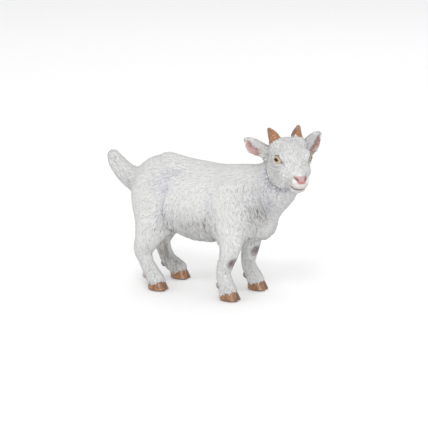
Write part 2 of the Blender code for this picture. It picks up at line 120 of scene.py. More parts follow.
# Guides on the body by kind: (x, half width, z) and the way the coat lies
BODY_GUIDES = {
    "back": [
        ((-21, 3, 36), (-0.9, 0.3, -0.4)), ((-12, 2, 39), (-1.0, 0.3, -0.05)),
        ((0, 2, 38), (-1.0, 0.3, -0.15)), ((11, 2, 37), (-1.0, 0.35, -0.3)),
        ((18, 5, 39), (-0.6, 0.4, -0.7)),
    ],
    "flank": [
        ((-14, 8, 31), (-0.75, 0, -0.6)), ((-6, 8, 32), (-0.8, 0, -0.6)), ((2, 8, 31), (-0.7, 0, -0.7)),
        ((9, 7, 33), (-0.35, 0, -0.9)), ((-4, 8.5, 26), (-0.45, 0, -0.9)),
        ((3, 8.5, 27), (-0.25, 0, -0.95)), ((11, 8, 25), (0.1, 0, -1.0)),
        ((15, 7.5, 30), (0.25, 0, -0.95)), ((13, 8, 24), (0.15, 0, -1.0)),
    ],
    "belly": [
        ((-7, 7.5, 21), (0.1, 0, -1.0)), ((-1, 8, 21), (0.15, 0, -1.0)),
        ((5, 7.5, 21.5), (0.15, 0, -1.0)), ((-4, 3, 16), (0.35, 0.2, -0.9)),
        ((3, 3, 16), (0.3, 0.2, -0.9)),
    ],
    "thigh": [
        ((-16, 8.5, 25), (-0.6, 0, -0.8)), ((-20, 6, 27), (-0.5, 0, -0.9)),
        ((-17, 8, 18), (-0.35, 0, -0.95)), ((-20, 4, 20), (-0.2, 0, -1.0)),
        ((11, 8, 18), (0.05, 0, -1.0)),
    ],
    "chest": [
        ((17, 6, 25), (0.35, 0, -0.95)), ((17, 7, 31), (0.45, 0, -0.9)), ((21, 6, 34), (0.5, 0, -0.85)),
        ((24, 4, 38), (0.45, 0, -0.9)), ((18, 2, 19), (0.2, 0.3, -0.9)),
    ],
    "throat": [
        ((21, 3, 26), (0.05, 0.4, -1.0)), ((26, 3, 33), (-0.05, 0.3, -1.0)),
    ],
    "tail": [
        ((-27, 1, 34), (-0.75, 0.15, 0.6)), ((-31, 1, 38), (-0.45, 0.1, 0.9)),
    ],
    "leg": [
        ((10, 6.5, 11), (0, 0, -1.0)), ((13, 6.5, 8), (0, 0, -1.0)), ((-18, 6.5, 12), (0, 0, -1.0)),
        ((-17, 6.5, 8), (0.1, 0, -1.0)),
    ],
    "fetlock": [
        ((10, 6.5, 4), (0.2, 0, -1.0)), ((13, 6.5, 4), (0.2, 0, -1.0)), ((-15, 6.5, 4), (0.3, 0, -1.0)),
    ],
}

# Guides on the head, in its own frame: (forward, half width, up) and the way the coat lies
HEAD_GUIDES = {
    "muzzle": [
        ((6.5, 1.0, -3.4), (-0.8, 0.5, 0.4)), ((5.8, 2.2, -5.6), (-0.7, 0.6, -0.3)),
        ((5.5, 0.5, -8.2), (-0.9, 0.2, -0.4)),
    ],
    "face": [
        ((4.0, 1.5, -1.6), (-0.8, 0.35, 0.5)), ((2.8, 3.6, -3.4), (-0.9, 0.4, -0.2)),
        ((1.6, 1.5, 1.6), (-0.6, 0.3, 0.8)), ((-1.0, 4.8, 2.2), (-0.9, 0.2, 0.3)),
    ],
    "crown": [
        ((-1.5, 1.0, 4.0), (-0.7, 0.3, 0.6)), ((-4.0, 1.0, 5.0), (-0.9, 0.3, 0.3)),
        ((-7.5, 2.0, 4.0), (-0.9, 0.2, -0.5)),
    ],
    "cheek": [
        ((-9.5, 2.0, 0.0), (-0.6, 0.2, -0.8)), ((0.0, 5.0, -3.4), (-0.8, 0.2, -0.5)),
        ((-4.0, 5.4, -2.0), (-0.85, 0.1, -0.5)), ((0.0, 3.6, -6.8), (-0.7, 0.3, -0.7)),
        ((0.5, 1.5, -8.2), (-0.9, 0.2, -0.4)),
    ],
    "ruff": [
        ((-4.2, 5.0, -5.6), (-0.7, 0.2, -0.75)), ((-5.0, 2.5, -8.4), (-0.8, 0.2, -0.5)),
    ],
}

HEAD_REACH = 16  # no part of the head or ears is further from HEAD_AT

# Paint, linear
WHITE = (0.70, 0.702, 0.692)
LAVENDER = (0.45, 0.445, 0.52)
UMBER = (0.27, 0.24, 0.20)
MAUVE = (0.225, 0.175, 0.19)
# Inner ear pinks: the left ear's is the same pink made darker, painted shade
EAR_PINKS_SHADED_LEFT = {RIGHT: (0.40, 0.235, 0.21), LEFT: (0.31, 0.175, 0.15)}
EAR_BARE = {RIGHT: 2.7, LEFT: 2.4}  # width of the bare strip inside
NOSE_PINK = (0.37, 0.16, 0.145)
NOSTRIL = (0.20, 0.07, 0.06)
LIP_LINE = (0.13, 0.105, 0.10)
LID = (0.52, 0.46, 0.38)
LID_LINE = (0.16, 0.13, 0.105)
TEAR = (0.32, 0.22, 0.21)
# Painted shade: a warm grey that darkens the muzzle, which faces the front light
MUZZLE_SHADE = (0.51, 0.46, 0.44)


# Forms -----------------------------------------


def unit(rows):
    rows = np.asarray(rows, float)
    return rows / np.maximum(np.linalg.norm(rows, axis=-1, keepdims=True), 1e-9)


def turned(yaw=0.0, pitch=0.0):
    """Rotation in degrees: pitch nose-down about y, then yaw about z."""
    y, p = np.radians([yaw, pitch])
    about_z = np.array([[np.cos(y), -np.sin(y), 0], [np.sin(y), np.cos(y), 0], [0, 0, 1]])
    about_y = np.array([[np.cos(p), 0, np.sin(p)], [0, 1, 0], [-np.sin(p), 0, np.cos(p)]])
    return about_z @ about_y


BODY = (np.zeros(3), np.eye(3))
HEAD = (np.array(HEAD_AT), turned(yaw=HEAD_YAW))


def outward(points):
    """The same points with y counted from the middle, alike for both sides."""
    return points * (1, 0, 1) + np.abs(points[:, 1:2]) * (0, 1, 0)


def to_head(points):
    return (points - HEAD[0]) @ HEAD[1]


def from_head(local):
    return HEAD[0] + np.asarray(local, float) @ HEAD[1].T


def joined(a, b, soft):
    mix = np.clip(0.5 + 0.5 * (b - a) / soft, 0, 1)
    return b + (a - b) * mix - soft * mix * (1 - mix)


def carved(a, b, soft):
    """a with b taken out of it."""
    return rounded(a, -b, soft)


def rounded(a, b, soft):
    """What is inside both a and b, with the edge between them rounded."""
    return -joined(-a, -b, soft)


def ball(at, radii, pitch=0.0, frame=BODY, blend=1.0):
    """An ellipsoid."""
    centre = frame[0] + frame[1] @ np.array(at, float)
    axes = frame[1] @ turned(pitch=pitch)
    radii = np.ones(3) * radii
    half = np.sqrt(((axes * radii) ** 2).sum(1))

    def distance(points):
        local = (points - centre) @ axes
        near = np.maximum(np.sqrt(((local / radii) ** 2).sum(-1)), 1e-3)
        slope = np.sqrt(((local / radii**2) ** 2).sum(-1))
        return near * (near - 1) / np.maximum(slope, 1e-3 / radii.max())

    return distance, centre - half, centre + half, blend


def smooth_path(stations, steps=5):
    """A Catmull-Rom curve through rows of numbers."""
    rows = np.array(stations, float)
    if len(rows) < 3:
        return rows
    rows = np.vstack([2 * rows[0] - rows[1], rows, 2 * rows[-1] - rows[-2]])
    path = []
    for before, start, end, after in zip(rows, rows[1:], rows[2:], rows[3:]):
        for t in np.linspace(0, 1, steps, endpoint=False):
            bend = 2 * before - 5 * start + 4 * end - after
            twist = 3 * start - before - 3 * end + after
            path.append(start + 0.5 * ((end - before) * t + bend * t**2 + twist * t**3))
    path.append(rows[-2])
    return np.array(path)


def limb(stations, frame=BODY, blend=1.0):
    """A round limb along stations of (x, y, z, radius)."""
    path = smooth_path(stations)
    centres = frame[0] + path[:, :3] @ frame[1].T
    radii = path[:, 3]

    def distance(points):
        nearest = np.full(points.shape[:-1], np.inf)
        for a, b, r, s in zip(centres, centres[1:], radii, radii[1:]):
            along = np.clip((points - a) @ (b - a) / ((b - a) @ (b - a)), 0, 1)
            off = points - a - along[..., None] * (b - a)
            nearest = np.minimum(nearest, np.sqrt((off**2).sum(-1)) - r - along * (s - r))
        return nearest

    widest = radii[:, None]
    return distance, (centres - widest).min(0), (centres + widest).max(0), blend


def ear_axes(side):
    """Base point, length and the unit vectors along, across and out of the cupped face."""
    base = from_head(EAR_BASES[side])
    tip = from_head(EAR_TIPS[side])
    along = unit(tip - base)
    facing = HEAD[1] @ np.array(EAR_FACES[side], float)
    facing = unit(facing - along * (facing @ along))
    return base, np.linalg.norm(tip - base), along, np.cross(facing, along), facing


def ear(side):
    """A pointed leaf, cupped on the side it faces, its edges bowed down."""
    base, length, along, across, facing = ear_axes(side)
    width = EAR_WIDTHS[side]
    drop = -EAR_BOW * np.sign(across[2])
    widest_at = 0.36

    def distance(points):
        q = points - base
        t = np.clip(q @ along / length, 0, 1)
        rise = 0.65 + 0.35 * np.sin(np.pi / 2 * np.minimum(t / widest_at, 1))
        fall = (1 - (np.clip(t - widest_at, 0, 1) / (1 - widest_at)) ** 2.2) ** 0.72
        half = np.maximum(width / 2 * rise * fall, 0.05)
        over = q @ across - drop * np.sin(np.pi * t**0.8)
        cupped = q @ facing + EAR_HOLLOW * (1 - (over / half) ** 2) * rise * fall
        edge = np.maximum(np.abs(over) - half + EAR_THICK / 2, 0)
        shell = np.sqrt(edge**2 + cupped**2) - EAR_THICK / 2
        return 0.8 * np.maximum(shell, np.maximum(q @ along - length, -(q @ along) - 1.0))

    ends = np.array([base - along, base + length * along])
    reach = 0.6 * width + EAR_HOLLOW
    return distance, ends.min(0) - reach, ends.max(0) + reach, 0.5


def claw(foot, inner_or_outer):
    """Half of a cloven hoof: a low rounded toe with growth rings, rounded into the cleft."""
    length, width = HOOF_SIZE
    middle = np.array([foot[0] + 0.3, foot[1], 0.0])
    centre = middle + (0, inner_or_outer * width / 4, 1.5)
    half = np.array([0.6 * length, 0.35 * width, 2.8])

    def distance(points):
        q = points - middle
        height = q[..., 2]
        lean = HOOF_TAPER * height + 0.05 * height**2
        toe = np.abs(q[..., 0] + TOE_SLOPE * height) / (length / 2 - lean)
        wide = np.abs(q[..., 1]) / (width / 2 - lean)
        wall = (toe**2.3 + wide**2.3) ** (1 / 2.3) - 1
        splay = CLEFT / 2 + 0.16 * np.maximum(q[..., 0] - 1.2, 0)
        cleft = splay - inner_or_outer * q[..., 1]
        rings = 0.03 * np.sin(2 * np.pi * height / HOOF_RING)
        beside = rounded(width / 2 * wall + rings, cleft, 0.9)
        low = rounded(0.8 * beside, 0.05 - height, 0.5)
        return rounded(low, height - 3.1, 0.3)

    return distance, centre - half, centre + half, 0.4


def horn(side):
    tip = np.array(HORN_TIPS[side])
    stations = [(*HORN_BASES[side], 2.0), (-6.2, side * 3.5, 5.5, 1.6), (*tip, 0.66)]
    smooth, low, high, blend = limb(stations, HEAD)
    base, end = from_head(HORN_BASES[side]), from_head(tip)
    axis = unit(end - base)

    def distance(points):
        up = (points - base) @ axis
        rings = 0.035 * np.sin(2 * np.pi * up / HORN_RING)
        return smooth(points) + rings * np.clip(6.2 - up, 0, 1)

    return distance, low, high, blend


def leg_form(kind, side):
    x, y = FEET[kind, side]
    pastern = PASTERN_X[kind, side]
    if kind == "fore":
        elbow, knee, shin = (10.5, 9.5, 8.5) if side == RIGHT else (11.5, 11.0, 10.5)
        stations = [(elbow - 0.2, side * 6.0, 21, 4.4), (elbow, side * 6.4, 16.5, 3.3)]
        stations += [(knee, y, 12.0, 2.5), (shin, y, 8.2, 1.95), (pastern, y, 5.2, 2.15)]
        blend = 1.5
    else:
        hock, shin = (-18.3, -17.5) if side == RIGHT else (-19.2, -18.4)
        slim = 0.0 if side == RIGHT else 0.5
        stations = [(-15.2 - slim, side * 6.0, 21, 5.4 - slim)]
        stations.append((-16.6 - slim, side * 6.4, 16.8, 4.2 - slim))
        stations += [(hock, y, 12.2, 2.8), (shin, y, 8.8, 2.05), (pastern, y, 5.4, 2.15)]
        blend = 2.0
    stations.append((x - 0.6, y, 3.0, 2.45))
    return limb(stations, blend=blend)


def trunk_forms():
    forms = [
        ball((0, 0, 27.3), (19.5, 9.0, 11.7)),
        ball((-14.2, 0, 30.2), (10.4, 8.3, 10.3), 4, blend=4),
        ball((12, 0, 28.2), (9.2, 8.0, 10.8), -10, blend=4),
        ball((16.6, 0, 25.4), (4.6, 5.2, 6.6), -22, blend=3),
    ]
    spine = [(14, 0, 35.6, 3.2), (4, 0, 36.5, 2.4), (-6, 0, 37.8, 2.4), (-12.6, 0, 38.9, 2.2)]
    tail = [(-21.5, 0, 31.0, 4.0), (-25.2, 0, 32.2, 3.4), (-28.5, 0, 34.2, 2.8)]
    tail += [(-30.9, 0, 36.6, 2.3), (-32.1, 0, 38.4, 1.7)]
    forms += [limb(spine, blend=3), limb(tail, blend=2.5)]
    for side in SIDES:
        forms.append(ball((9.8, side * 5.9, 25.4), (5.0, 3.3, 9.2), 8, blend=2.5))
        forms.append(ball((-15.6, side * 5.4, 25.8), (7.0, 3.9, 9.6), -8, blend=2.5))
    return forms


def neck_form():
    low = [(12, 0, 29.6, 9.2), (19.0, 0.2, 33.1, 7.8)]
    high = [(23.5, -0.4, 37.3, 6.3), (26.4, -1.6, 41, 5.4)]
    return limb(low + high, blend=3)


def head_forms():
    forms = [
        ball((-4.4, 0, 0.2), (5.9, 5.2, 4.9), frame=HEAD, blend=2),
        ball((-1.8, 0, 0.2), (4.0, 4.6, 3.9), 25, HEAD, 1.5),
        limb([(-1, 0, -1.2, 4.0), (2.5, 0, -3.4, 3.1), (5.0, 0, -5.0, 2.4)], HEAD, 1.5),
        ball((4.6, 0, -5.85), (2.7, 2.8, 2.35), frame=HEAD, blend=1.2),
        limb([(-4.5, 0, -5.2, 3.3), (3.6, 0, -7.0, 1.8)], HEAD, 1.5),
    ]
    for side in SIDES:
        forms += [
            ball((-3.4, side * 2.9, -4.0), (4.7, 2.5, 4.4), frame=HEAD, blend=1.2),
            ball((0.7, side * 2.6, -2.9), (3.4, 2.25, 3.1), frame=HEAD, blend=1.2),
            ball((-4.6, side * 3.0, 2.4), (2.6, 2.2, 2.6), frame=HEAD, blend=1.5),
            ball((-0.2, side * 3.7, 0.6), (2.6, 1.7, 2.1), frame=HEAD, blend=1.2),
        ]
    return forms


# The face's fine forms -------------------------

GAZE = 58.0  # degrees from straight ahead
SLIT_TILT = 20.0  # the eye's long axis falls this much towards the nose
LID_THICK = 0.2
OPENING = (1.6, 0.86, 0.84)  # half length, upper and lower half height


def eye_axes(side):
    """Centre and unit vectors: out along the gaze, along the slit to the nose, and up across it."""
    x, y, z = EYE_AT
    angle, tilt = np.radians([GAZE, SLIT_TILT])
    out = np.array([np.cos(angle), side * np.sin(angle), 0.08])
    ahead = np.array([np.sin(angle), -side * np.cos(angle), 0.0])
    slit = np.cos(tilt) * ahead - np.sin(tilt) * np.array([0, 0, 1.0])
    out = unit(out)
    slit = unit(slit - out * (slit @ out))
    up = np.cross(out, slit) * -side
    up = up * np.sign(up[2])
    return from_head((x, side * y, z)), HEAD[1] @ out, HEAD[1] @ slit, HEAD[1] @ up


def eye_frame(points, side):
    centre, out, slit, up = eye_axes(side)
    q = points - centre
    return q @ out, q @ slit, q @ up


def lid_edge(points, side):
    """Distance across the almond's rim in the eye's own plane, negative in the opening."""
    _, along, over = eye_frame(points, side)
    half, upper, lower = OPENING
    height = np.where(over > 0, upper, lower)
    return np.abs(over) - height * (1 - np.clip(np.abs(along) / half, 0, 1.4) ** 2)


# Half of the mouth's line, from a corner to the middle: (forward, out, up, half width)
MOUTH = [
    (3.5, 3.2, -5.95, 0.04),
    (4.2, 3.0, -6.25, 0.18),
    (5.35, 2.45, -6.75, 0.24),
    (6.3, 1.3, -7.35, 0.3),
    (6.6, 0, -7.55, 0.31),
]


def nostril(side):
    back, front = (6.15, side * 1.85, -3.6, 0.16), (7.2, side * 1.05, -4.45, 0.18)
    return limb([back, (6.8, side * 1.5, -3.9, 0.26), front], HEAD)


def tear_line(side):
    centre, out, slit, up = eye_axes(side)
    ends = [centre + 1.15 * out + 1.25 * slit, centre + 0.95 * out + 2.55 * slit - 0.15 * up]
    local = [(*to_head(end), radius) for end, radius in zip(ends, (0.24, 0.14))]
    return limb(local, HEAD)


class Face:
    """The signed distances of the face's raised parts and grooves, made once."""

    mouth = limb(MOUTH + [(x, -y, z, r) for x, y, z, r in MOUTH[-2::-1]], HEAD)[0]
    philtrum = limb([(7.6, 0, -5.1, 0.12), (7.25, 0, -6.0, 0.16), (6.75, 0, -7.3, 0.14)], HEAD)[0]
    nostrils = [nostril(side)[0] for side in SIDES]
    tears = {side: tear_line(side)[0] for side in SIDES}
    pad = ball((6.35, 0, -4.6), (1.2, 1.9, 1.0), 25, HEAD)[0]
    wings = [
        ball((6.05, side * 1.95, -4.75), (0.95, 0.6, 0.8), 25, HEAD)[0] for side in SIDES
    ]
    chin = limb([(4.5, -1.2, -7.6, 0.62), (5.1, 0, -7.65, 0.68), (4.5, 1.2, -7.6, 0.62)], HEAD)[0]


def with_face(value, points):
    """The flesh's value with lids, nose, lips and the grooves between them."""
    for side in SIDES:
        out, _, _ = eye_frame(points, side)
        centre = eye_axes(side)[0]
        off = np.linalg.norm(points - centre, axis=-1)
        value = joined(value, off - EYE_RADIUS - LID_THICK, 0.45)
        opening = np.maximum(lid_edge(points, side), 0.45 - out)
        value = carved(value, opening, 0.16)
        value = carved(value, Face.tears[side](points), 0.25)
    value = joined(value, Face.pad(points), 0.3)
    value = joined(value, Face.chin(points), 0.6)
    for wing in Face.wings:
        value = joined(value, wing(points), 0.4)
    for groove in Face.nostrils:
        value = carved(value, groove(points), 0.18)
    value = carved(value, Face.philtrum(points), 0.2)
    return carved(value, Face.mouth(points), 0.22)


# The skin's field ------------------------------


def flesh_forms():
    """Every form with the coat's depth there."""
    forms = [(form, COAT_BODY) for form in trunk_forms() + [neck_form()]]
    forms += [(leg_form(kind, side), COAT_LEG) for kind, side in FEET]
    forms += [(form, COAT_HEAD) for form in head_forms()]
    forms += [(ear(side), COAT_EAR) for side in SIDES]
    for place in HORN_COLLARS:
        forms.append((ball(place, HORN_COLLAR, frame=HEAD, blend=1.2), 0.0))
    return forms


FORMS = flesh_forms()
FACE_LOW, FACE_HIGH = from_head((2, 0, -2)) - 8.5, from_head((2, 0, -2)) + 8.5


def coronet(points, foot):
    """Above the line where leg meets hoof, which is higher at the toe than at the heel."""
    slope = unit([0.06, 0, -1])
    return (points - (foot[0], 0, CORONET)) @ slope


BELLY_TUCK, BELLY_TOP, BELLY_LOW, BELLY_END = 0.3, 21.5, 12, 10
JAW_CREASE, JAW_CREASE_HALF, CREASE_AHEAD = 0.62, 0.75, 1.2
NAPE, NAPE_FACING = np.array([-6.96, 0, -5.22]), unit([-0.8, 0, -0.6])
HEAD_FROM = 30  # no part of the head or the crease behind the jaw is lower


def rising(value, low, high):
    """0 up to low, rising to 1 at high."""
    t = np.clip((value - low) / (high - low), 0, 1)
    return t * t * (3 - 2 * t)


def falling(value, low, high):
    """1 up to low, falling to 0 at high."""
    return 1 - rising(value, low, high)


def behind_nape(points):
    """How far behind the plane where the head joins the neck."""
    return (to_head(points) - NAPE) @ NAPE_FACING


def jaw_crease(points, half):
    """1 along the crease between jaw and neck."""
    near = np.exp(-(((behind_nape(points) + CREASE_AHEAD) / half) ** 2))
    return near * rising(1.0 - to_head(points)[..., 2], 0, 2) * (points[..., 2] > HEAD_FROM)


def path_distance(points, path):
    """Distance in the side plane to a path of (x, z)."""
    path = np.array(path, float)
    flat = points[..., [0, 2]]
    nearest = np.full(flat.shape[:-1], np.inf)
    for a, b in zip(path, path[1:]):
        along = np.clip((flat - a) @ (b - a) / ((b - a) @ (b - a)), 0, 1)
        off = flat - a - along[..., None] * (b - a)
        nearest = np.minimum(nearest, np.linalg.norm(off, axis=-1))
    return nearest


# Creases on both sides: path of (x, z), half width, depth
FOLDS = [
    ([(-9.6, 31.5), (-10.9, 28), (-11.2, 24.5), (-10.3, 19.5)], 0.65, 0.6),
    ([(7.6, 21.0), (6.6, 24), (6.4, 27.5)], 0.8, 0.3),
    ([(-8.5, 37.0), (-12.5, 35.6)], 0.8, 0.25),
    ([(15.5, 21.5), (17.0, 25.5), (17.0, 29)], 0.8, 0.3),
]


def skin(points):
    """The flesh with the face's detail and its creases, ending where the hooves begin."""
    total = np.full(points.shape[:-1], 99.0)
    for (distance, low, high, soft), coat in FORMS:
        reach = soft + REACH
        near = ((points > low - reach) & (points < high + reach)).all(-1)
        total[near] = joined(total[near], distance(points[near]) + coat, soft)
    near = ((points > FACE_LOW) & (points < FACE_HIGH)).all(-1)
    total[near] = with_face(total[near], points[near])
    flank = (np.abs(total) < 3) & (np.abs(points[..., 1]) > 3) & (points[..., 0] < 20)
    for path, half, depth in FOLDS:
        total[flank] += depth * np.exp(-((path_distance(points[flank], path) / half) ** 2))
    x, _, z = np.moveaxis(points, -1, 0)
    under = rising(BELLY_TOP - z, 0, 3) * rising(BELLY_END - np.abs(x), 0, 2)
    total += BELLY_TUCK * under * (z > BELLY_LOW)
    total += JAW_CREASE * jaw_crease(points, JAW_CREASE_HALF)
    for foot in FEET.values():
        near = (np.abs(points[..., :2] - foot) < (7, 4.5)).all(-1) & (points[..., 2] < 6)
        total[near] = carved(total[near], -coronet(points[near], foot), 0.5)
    return total


def slopes(distance, points, step=0.03):
    shifts = step * np.eye(3)
    rise = [distance(points + shift) - distance(points - shift) for shift in shifts]
    return unit(np.stack(rise, -1))


def settled(distance, points, rounds=2, most=0.2):
    for _ in range(rounds):
        off = np.clip(distance(points), -most, most)
        points = points - off[:, None] * slopes(distance, points)
    return points


# Meshing ---------------------------------------


BLOCK = 4  # grid cells along the edge of a block
NEAR_BLOCK = 0.62  # a block closer to the surface than this share of its diagonal is worked out


def spread(*spans):
    """Grid lines over spans of (start, end, step), a multiple of BLOCK cells in all."""
    lines = np.concatenate([np.arange(*span) for span in spans])
    extra = -(len(lines) - 1) % BLOCK
    return np.concatenate([lines, lines[-1] + spans[-1][2] * np.arange(1, extra + 1)])


def cell_corners(grid):
    """For each of a cell's eight corners, the grid's values there in every cell."""
    for corner in np.ndindex(2, 2, 2):
        yield grid[tuple(slice(start, start + n - 1) for start, n in zip(corner, grid.shape))]


def sampled(distance, axes):
    """The field on a grid, worked out finely only in blocks near its surface."""
    coarse = [axis[::BLOCK] for axis in axes]
    nodes = np.stack(np.meshgrid(*coarse, indexing="ij"), -1)
    rough = distance(nodes.reshape(-1, 3)).reshape(nodes.shape[:-1])
    diagonal = np.linalg.norm([np.diff(axis).max() for axis in coarse])
    nearest = np.min([np.abs(corner) for corner in cell_corners(rough)], axis=0)
    cells = np.argwhere(nearest < NEAR_BLOCK * diagonal) * BLOCK
    counts = [(len(axis), n - 1) for axis, n in zip(axes, rough.shape)]
    block_of = [np.minimum((np.arange(n) + BLOCK // 2) // BLOCK, last) for n, last in counts]
    values = rough[np.ix_(*block_of)]
    wanted = np.zeros(values.shape, bool)
    for i, j, k in np.ndindex(BLOCK + 1, BLOCK + 1, BLOCK + 1):
        wanted[cells[:, 0] + i, cells[:, 1] + j, cells[:, 2] + k] = True
    at = np.argwhere(wanted)
    points = np.stack([axes[a][at[:, a]] for a in range(3)], 1)
    values[wanted] = distance(points)
    return values


def surface_nets(values, axes):
    """Quads round the zero level of a field on a grid of uneven lines."""
    inside = values < 0
    shape = values.shape
    count = np.sum([*cell_corners(inside)], axis=0)
    crossed = (count > 0) & (count < 8)
    index = np.full(crossed.shape, -1)
    at = np.argwhere(crossed)
    index[crossed] = np.arange(len(at))
    total, number = np.zeros((len(at), 3)), np.zeros(len(at))
    for a in range(3):
        for u, v in np.ndindex(2, 2):
            start = np.zeros(3, int)
            start[(a + 1) % 3], start[(a + 2) % 3] = u, v
            end = start.copy()
            end[a] = 1
            first = values[tuple((at + start).T)]
            last = values[tuple((at + end).T)]
            cuts = (first < 0) != (last < 0)
            share = np.where(cuts, first / np.where(cuts, first - last, 1), 0)
            total += (start + share[:, None] * (end - start)) * cuts[:, None]
            number += cuts
    within = total / number[:, None]
    points = np.empty((len(at), 3))
    for a in range(3):
        low, high = axes[a][at[:, a]], axes[a][at[:, a] + 1]
        points[:, a] = low + within[:, a] * (high - low)
    quads = []
    for a in range(3):
        b, c = (a + 1) % 3, (a + 2) % 3
        before = [slice(1, n - 1) for n in shape]
        before[a] = slice(0, shape[a] - 1)
        after = list(before)
        after[a] = slice(1, shape[a])
        first, last = inside[tuple(before)], inside[tuple(after)]
        cross = np.argwhere(first != last)
        flip = last[tuple(cross.T)]
        cross[:, b] += 1
        cross[:, c] += 1
        corners = []
        for back_b, back_c in ((1, 1), (0, 1), (0, 0), (1, 0)):
            cell = cross.copy()
            cell[:, b] -= back_b
            cell[:, c] -= back_c
            corners.append(index[tuple(cell.T)])
        faces = np.stack(corners, 1)
        faces[flip] = faces[flip][:, ::-1]
        quads.append(faces)
    return points, np.concatenate(quads)


def field_mesh(distance, low, high, step):
    axes = [spread((a - 2 * step, b + 2 * step, step)) for a, b in zip(low, high)]
    points, quads = surface_nets(sampled(distance, axes), axes)
    return settled(distance, points), quads


# The figure stands in the frame where the solids' eyes are ----


def middle_of(node):
    low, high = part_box(node)
    return (np.array(low) + np.array(high)) / 2 / MM


EYES_MIDDLE = (middle_of("eye_right") + middle_of("eye_left")) / 2
SHIFT = EYES_MIDDLE - from_head((EYE_AT[0], 0, EYE_AT[2]))


def add_piece(name, points, faces, look, nodes, paint):
    """A mesh piece from points in the figure's millimetres, in place of CAD nodes if any."""
    mesh = bpy.data.meshes.new(name)
    mesh.from_pydata((points + SHIFT) * MM, [], faces, shade_flat=False)
    layer = mesh.color_attributes.new("paint", "FLOAT_COLOR", "POINT")
    rgba = np.ones((len(points), 4), np.float32)
    rgba[:, :3] = paint
    layer.data.foreach_set("color", rgba.reshape(-1))
    mesh.materials.append(look)
    piece = bpy.data.objects.new(name, mesh)
    bpy.context.scene.collection.objects.link(piece)
    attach(piece, "root")
    if nodes:
        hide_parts(*nodes)
    return piece


# The coat's lie, kind and relief ---------------

LATTICE = np.random.default_rng(SEED).random((32, 32, 32, 3))


def noise(points, cell, layer=0):
    """Smooth value noise between -1 and 1."""
    scaled = points / cell
    whole = np.floor(scaled).astype(int)
    part = scaled - whole
    part = part * part * (3 - 2 * part)
    total = np.zeros(points.shape[:-1])
    for corner in np.ndindex(2, 2, 2):
        weight = np.prod(np.where(corner, part, 1 - part), -1)
        cellnode = (whole + corner) % len(LATTICE)
        total += weight * LATTICE[cellnode[..., 0], cellnode[..., 1], cellnode[..., 2], layer]
    return 2 * total - 1


BODY_BLEND, HEAD_BLEND = 3.2, 1.8  # how far a guide's say reaches
SWAY, SWAY_CELL = 0.22, 3.1  # how the coat wanders off its guides
EAR_FAN = 0.55  # how the coat in an ear fans out to its edge


def guided(points, guides, blend):
    """Blended lie and kind at points, alike on both sides."""
    pairs = [pair for kind in guides for pair in guides[kind]]
    places, ways = np.array(pairs, float).transpose(1, 0, 2)
    ways = unit(ways)
    kinds = np.array([KINDS[kind] for kind in guides for _ in guides[kind]])
    off = ((outward(points)[:, None] - places) ** 2).sum(-1)
    off -= off.min(1, keepdims=True)
    weights = np.exp(-off / (2 * blend**2))
    weights /= weights.sum(1, keepdims=True)
    way = weights @ ways
    way[:, 1] *= np.clip(points[:, 1] / 1.5, -1, 1)
    return way, weights @ kinds


def head_share(points):
    """1 on the head, 0 on the neck and body."""
    return rising(-behind_nape(points), -1.2, 0.8) * rising(points[:, 2], 33, 36)


def ear_share(points, side):
    base, length, along, _, _ = ear_axes(side)
    q = points - base
    near = np.linalg.norm(q - np.clip(q @ along, 0, length)[:, None] * along, axis=-1)
    return rising(q @ along, 0.2, 1.6) * (near < 4.2)


def coat_at(points, normals):
    """Unit lie along the skin, and the kind's numbers, at each point."""
    way, kind = guided(points, BODY_GUIDES, BODY_BLEND)
    share = head_share(points)[:, None]
    head_way, head_kind = guided(to_head(points), HEAD_GUIDES, HEAD_BLEND)
    way = way + share * (head_way @ HEAD[1].T - way)
    kind = kind + share * (head_kind - kind)
    for side in SIDES:
        share = ear_share(points, side)[:, None]
        _, _, along, across, facing = ear_axes(side)
        fan = EAR_FAN * -np.sign(across[2]) * across
        inner = rising((normals @ facing)[:, None], 0.2, 0.6)
        way = way + share * (along + inner * fan - way)
        kind = kind + share * (np.array(KINDS["ear"]) - kind)
    way = way + SWAY * np.stack([noise(points, SWAY_CELL, layer) for layer in range(3)], -1)
    way = way - (way * normals).sum(-1, keepdims=True) * normals
    return unit(way), kind


STREAK = np.linspace(-1, 1, 7)


def clumps(points, way, cell, reach, layer=0):
    """Noise drawn out along the coat, between about -1 and 1."""
    total = sum(noise(points + reach * share * way, cell, layer) for share in STREAK)
    return np.clip(total / len(STREAK) * 2.6, -1, 1)


def relief(points, way, kind):
    """How far the coat's clumps stand out of the skin, and the hollows between them, 0 to 1."""
    broad = clumps(points, way, 1.25, 2.2)
    narrow = clumps(points, way, 0.62, 1.2, 1)
    height = 0.6 * broad + 0.4 * narrow
    return kind[:, 4] * height, rising(-height, -0.1, 0.8)


# Paint -----------------------------------------


def everywhere(row, points):
    """The same row of numbers at each point."""
    return np.tile(np.array(row), (len(points), 1))


def mixed(colour, *coats):
    """A colour under coats of paint, each another colour and its share at each point."""
    for other, share in coats:
        colour = colour + np.clip(share, 0, 1)[:, None] * (np.array(other) - colour)
    return colour


def patch(points, centre, radii):
    """1 in an ellipsoid, fading to 0 around it."""
    off = np.linalg.norm((points - centre) / radii, axis=-1)
    return falling(off, 0.55, 1.25)
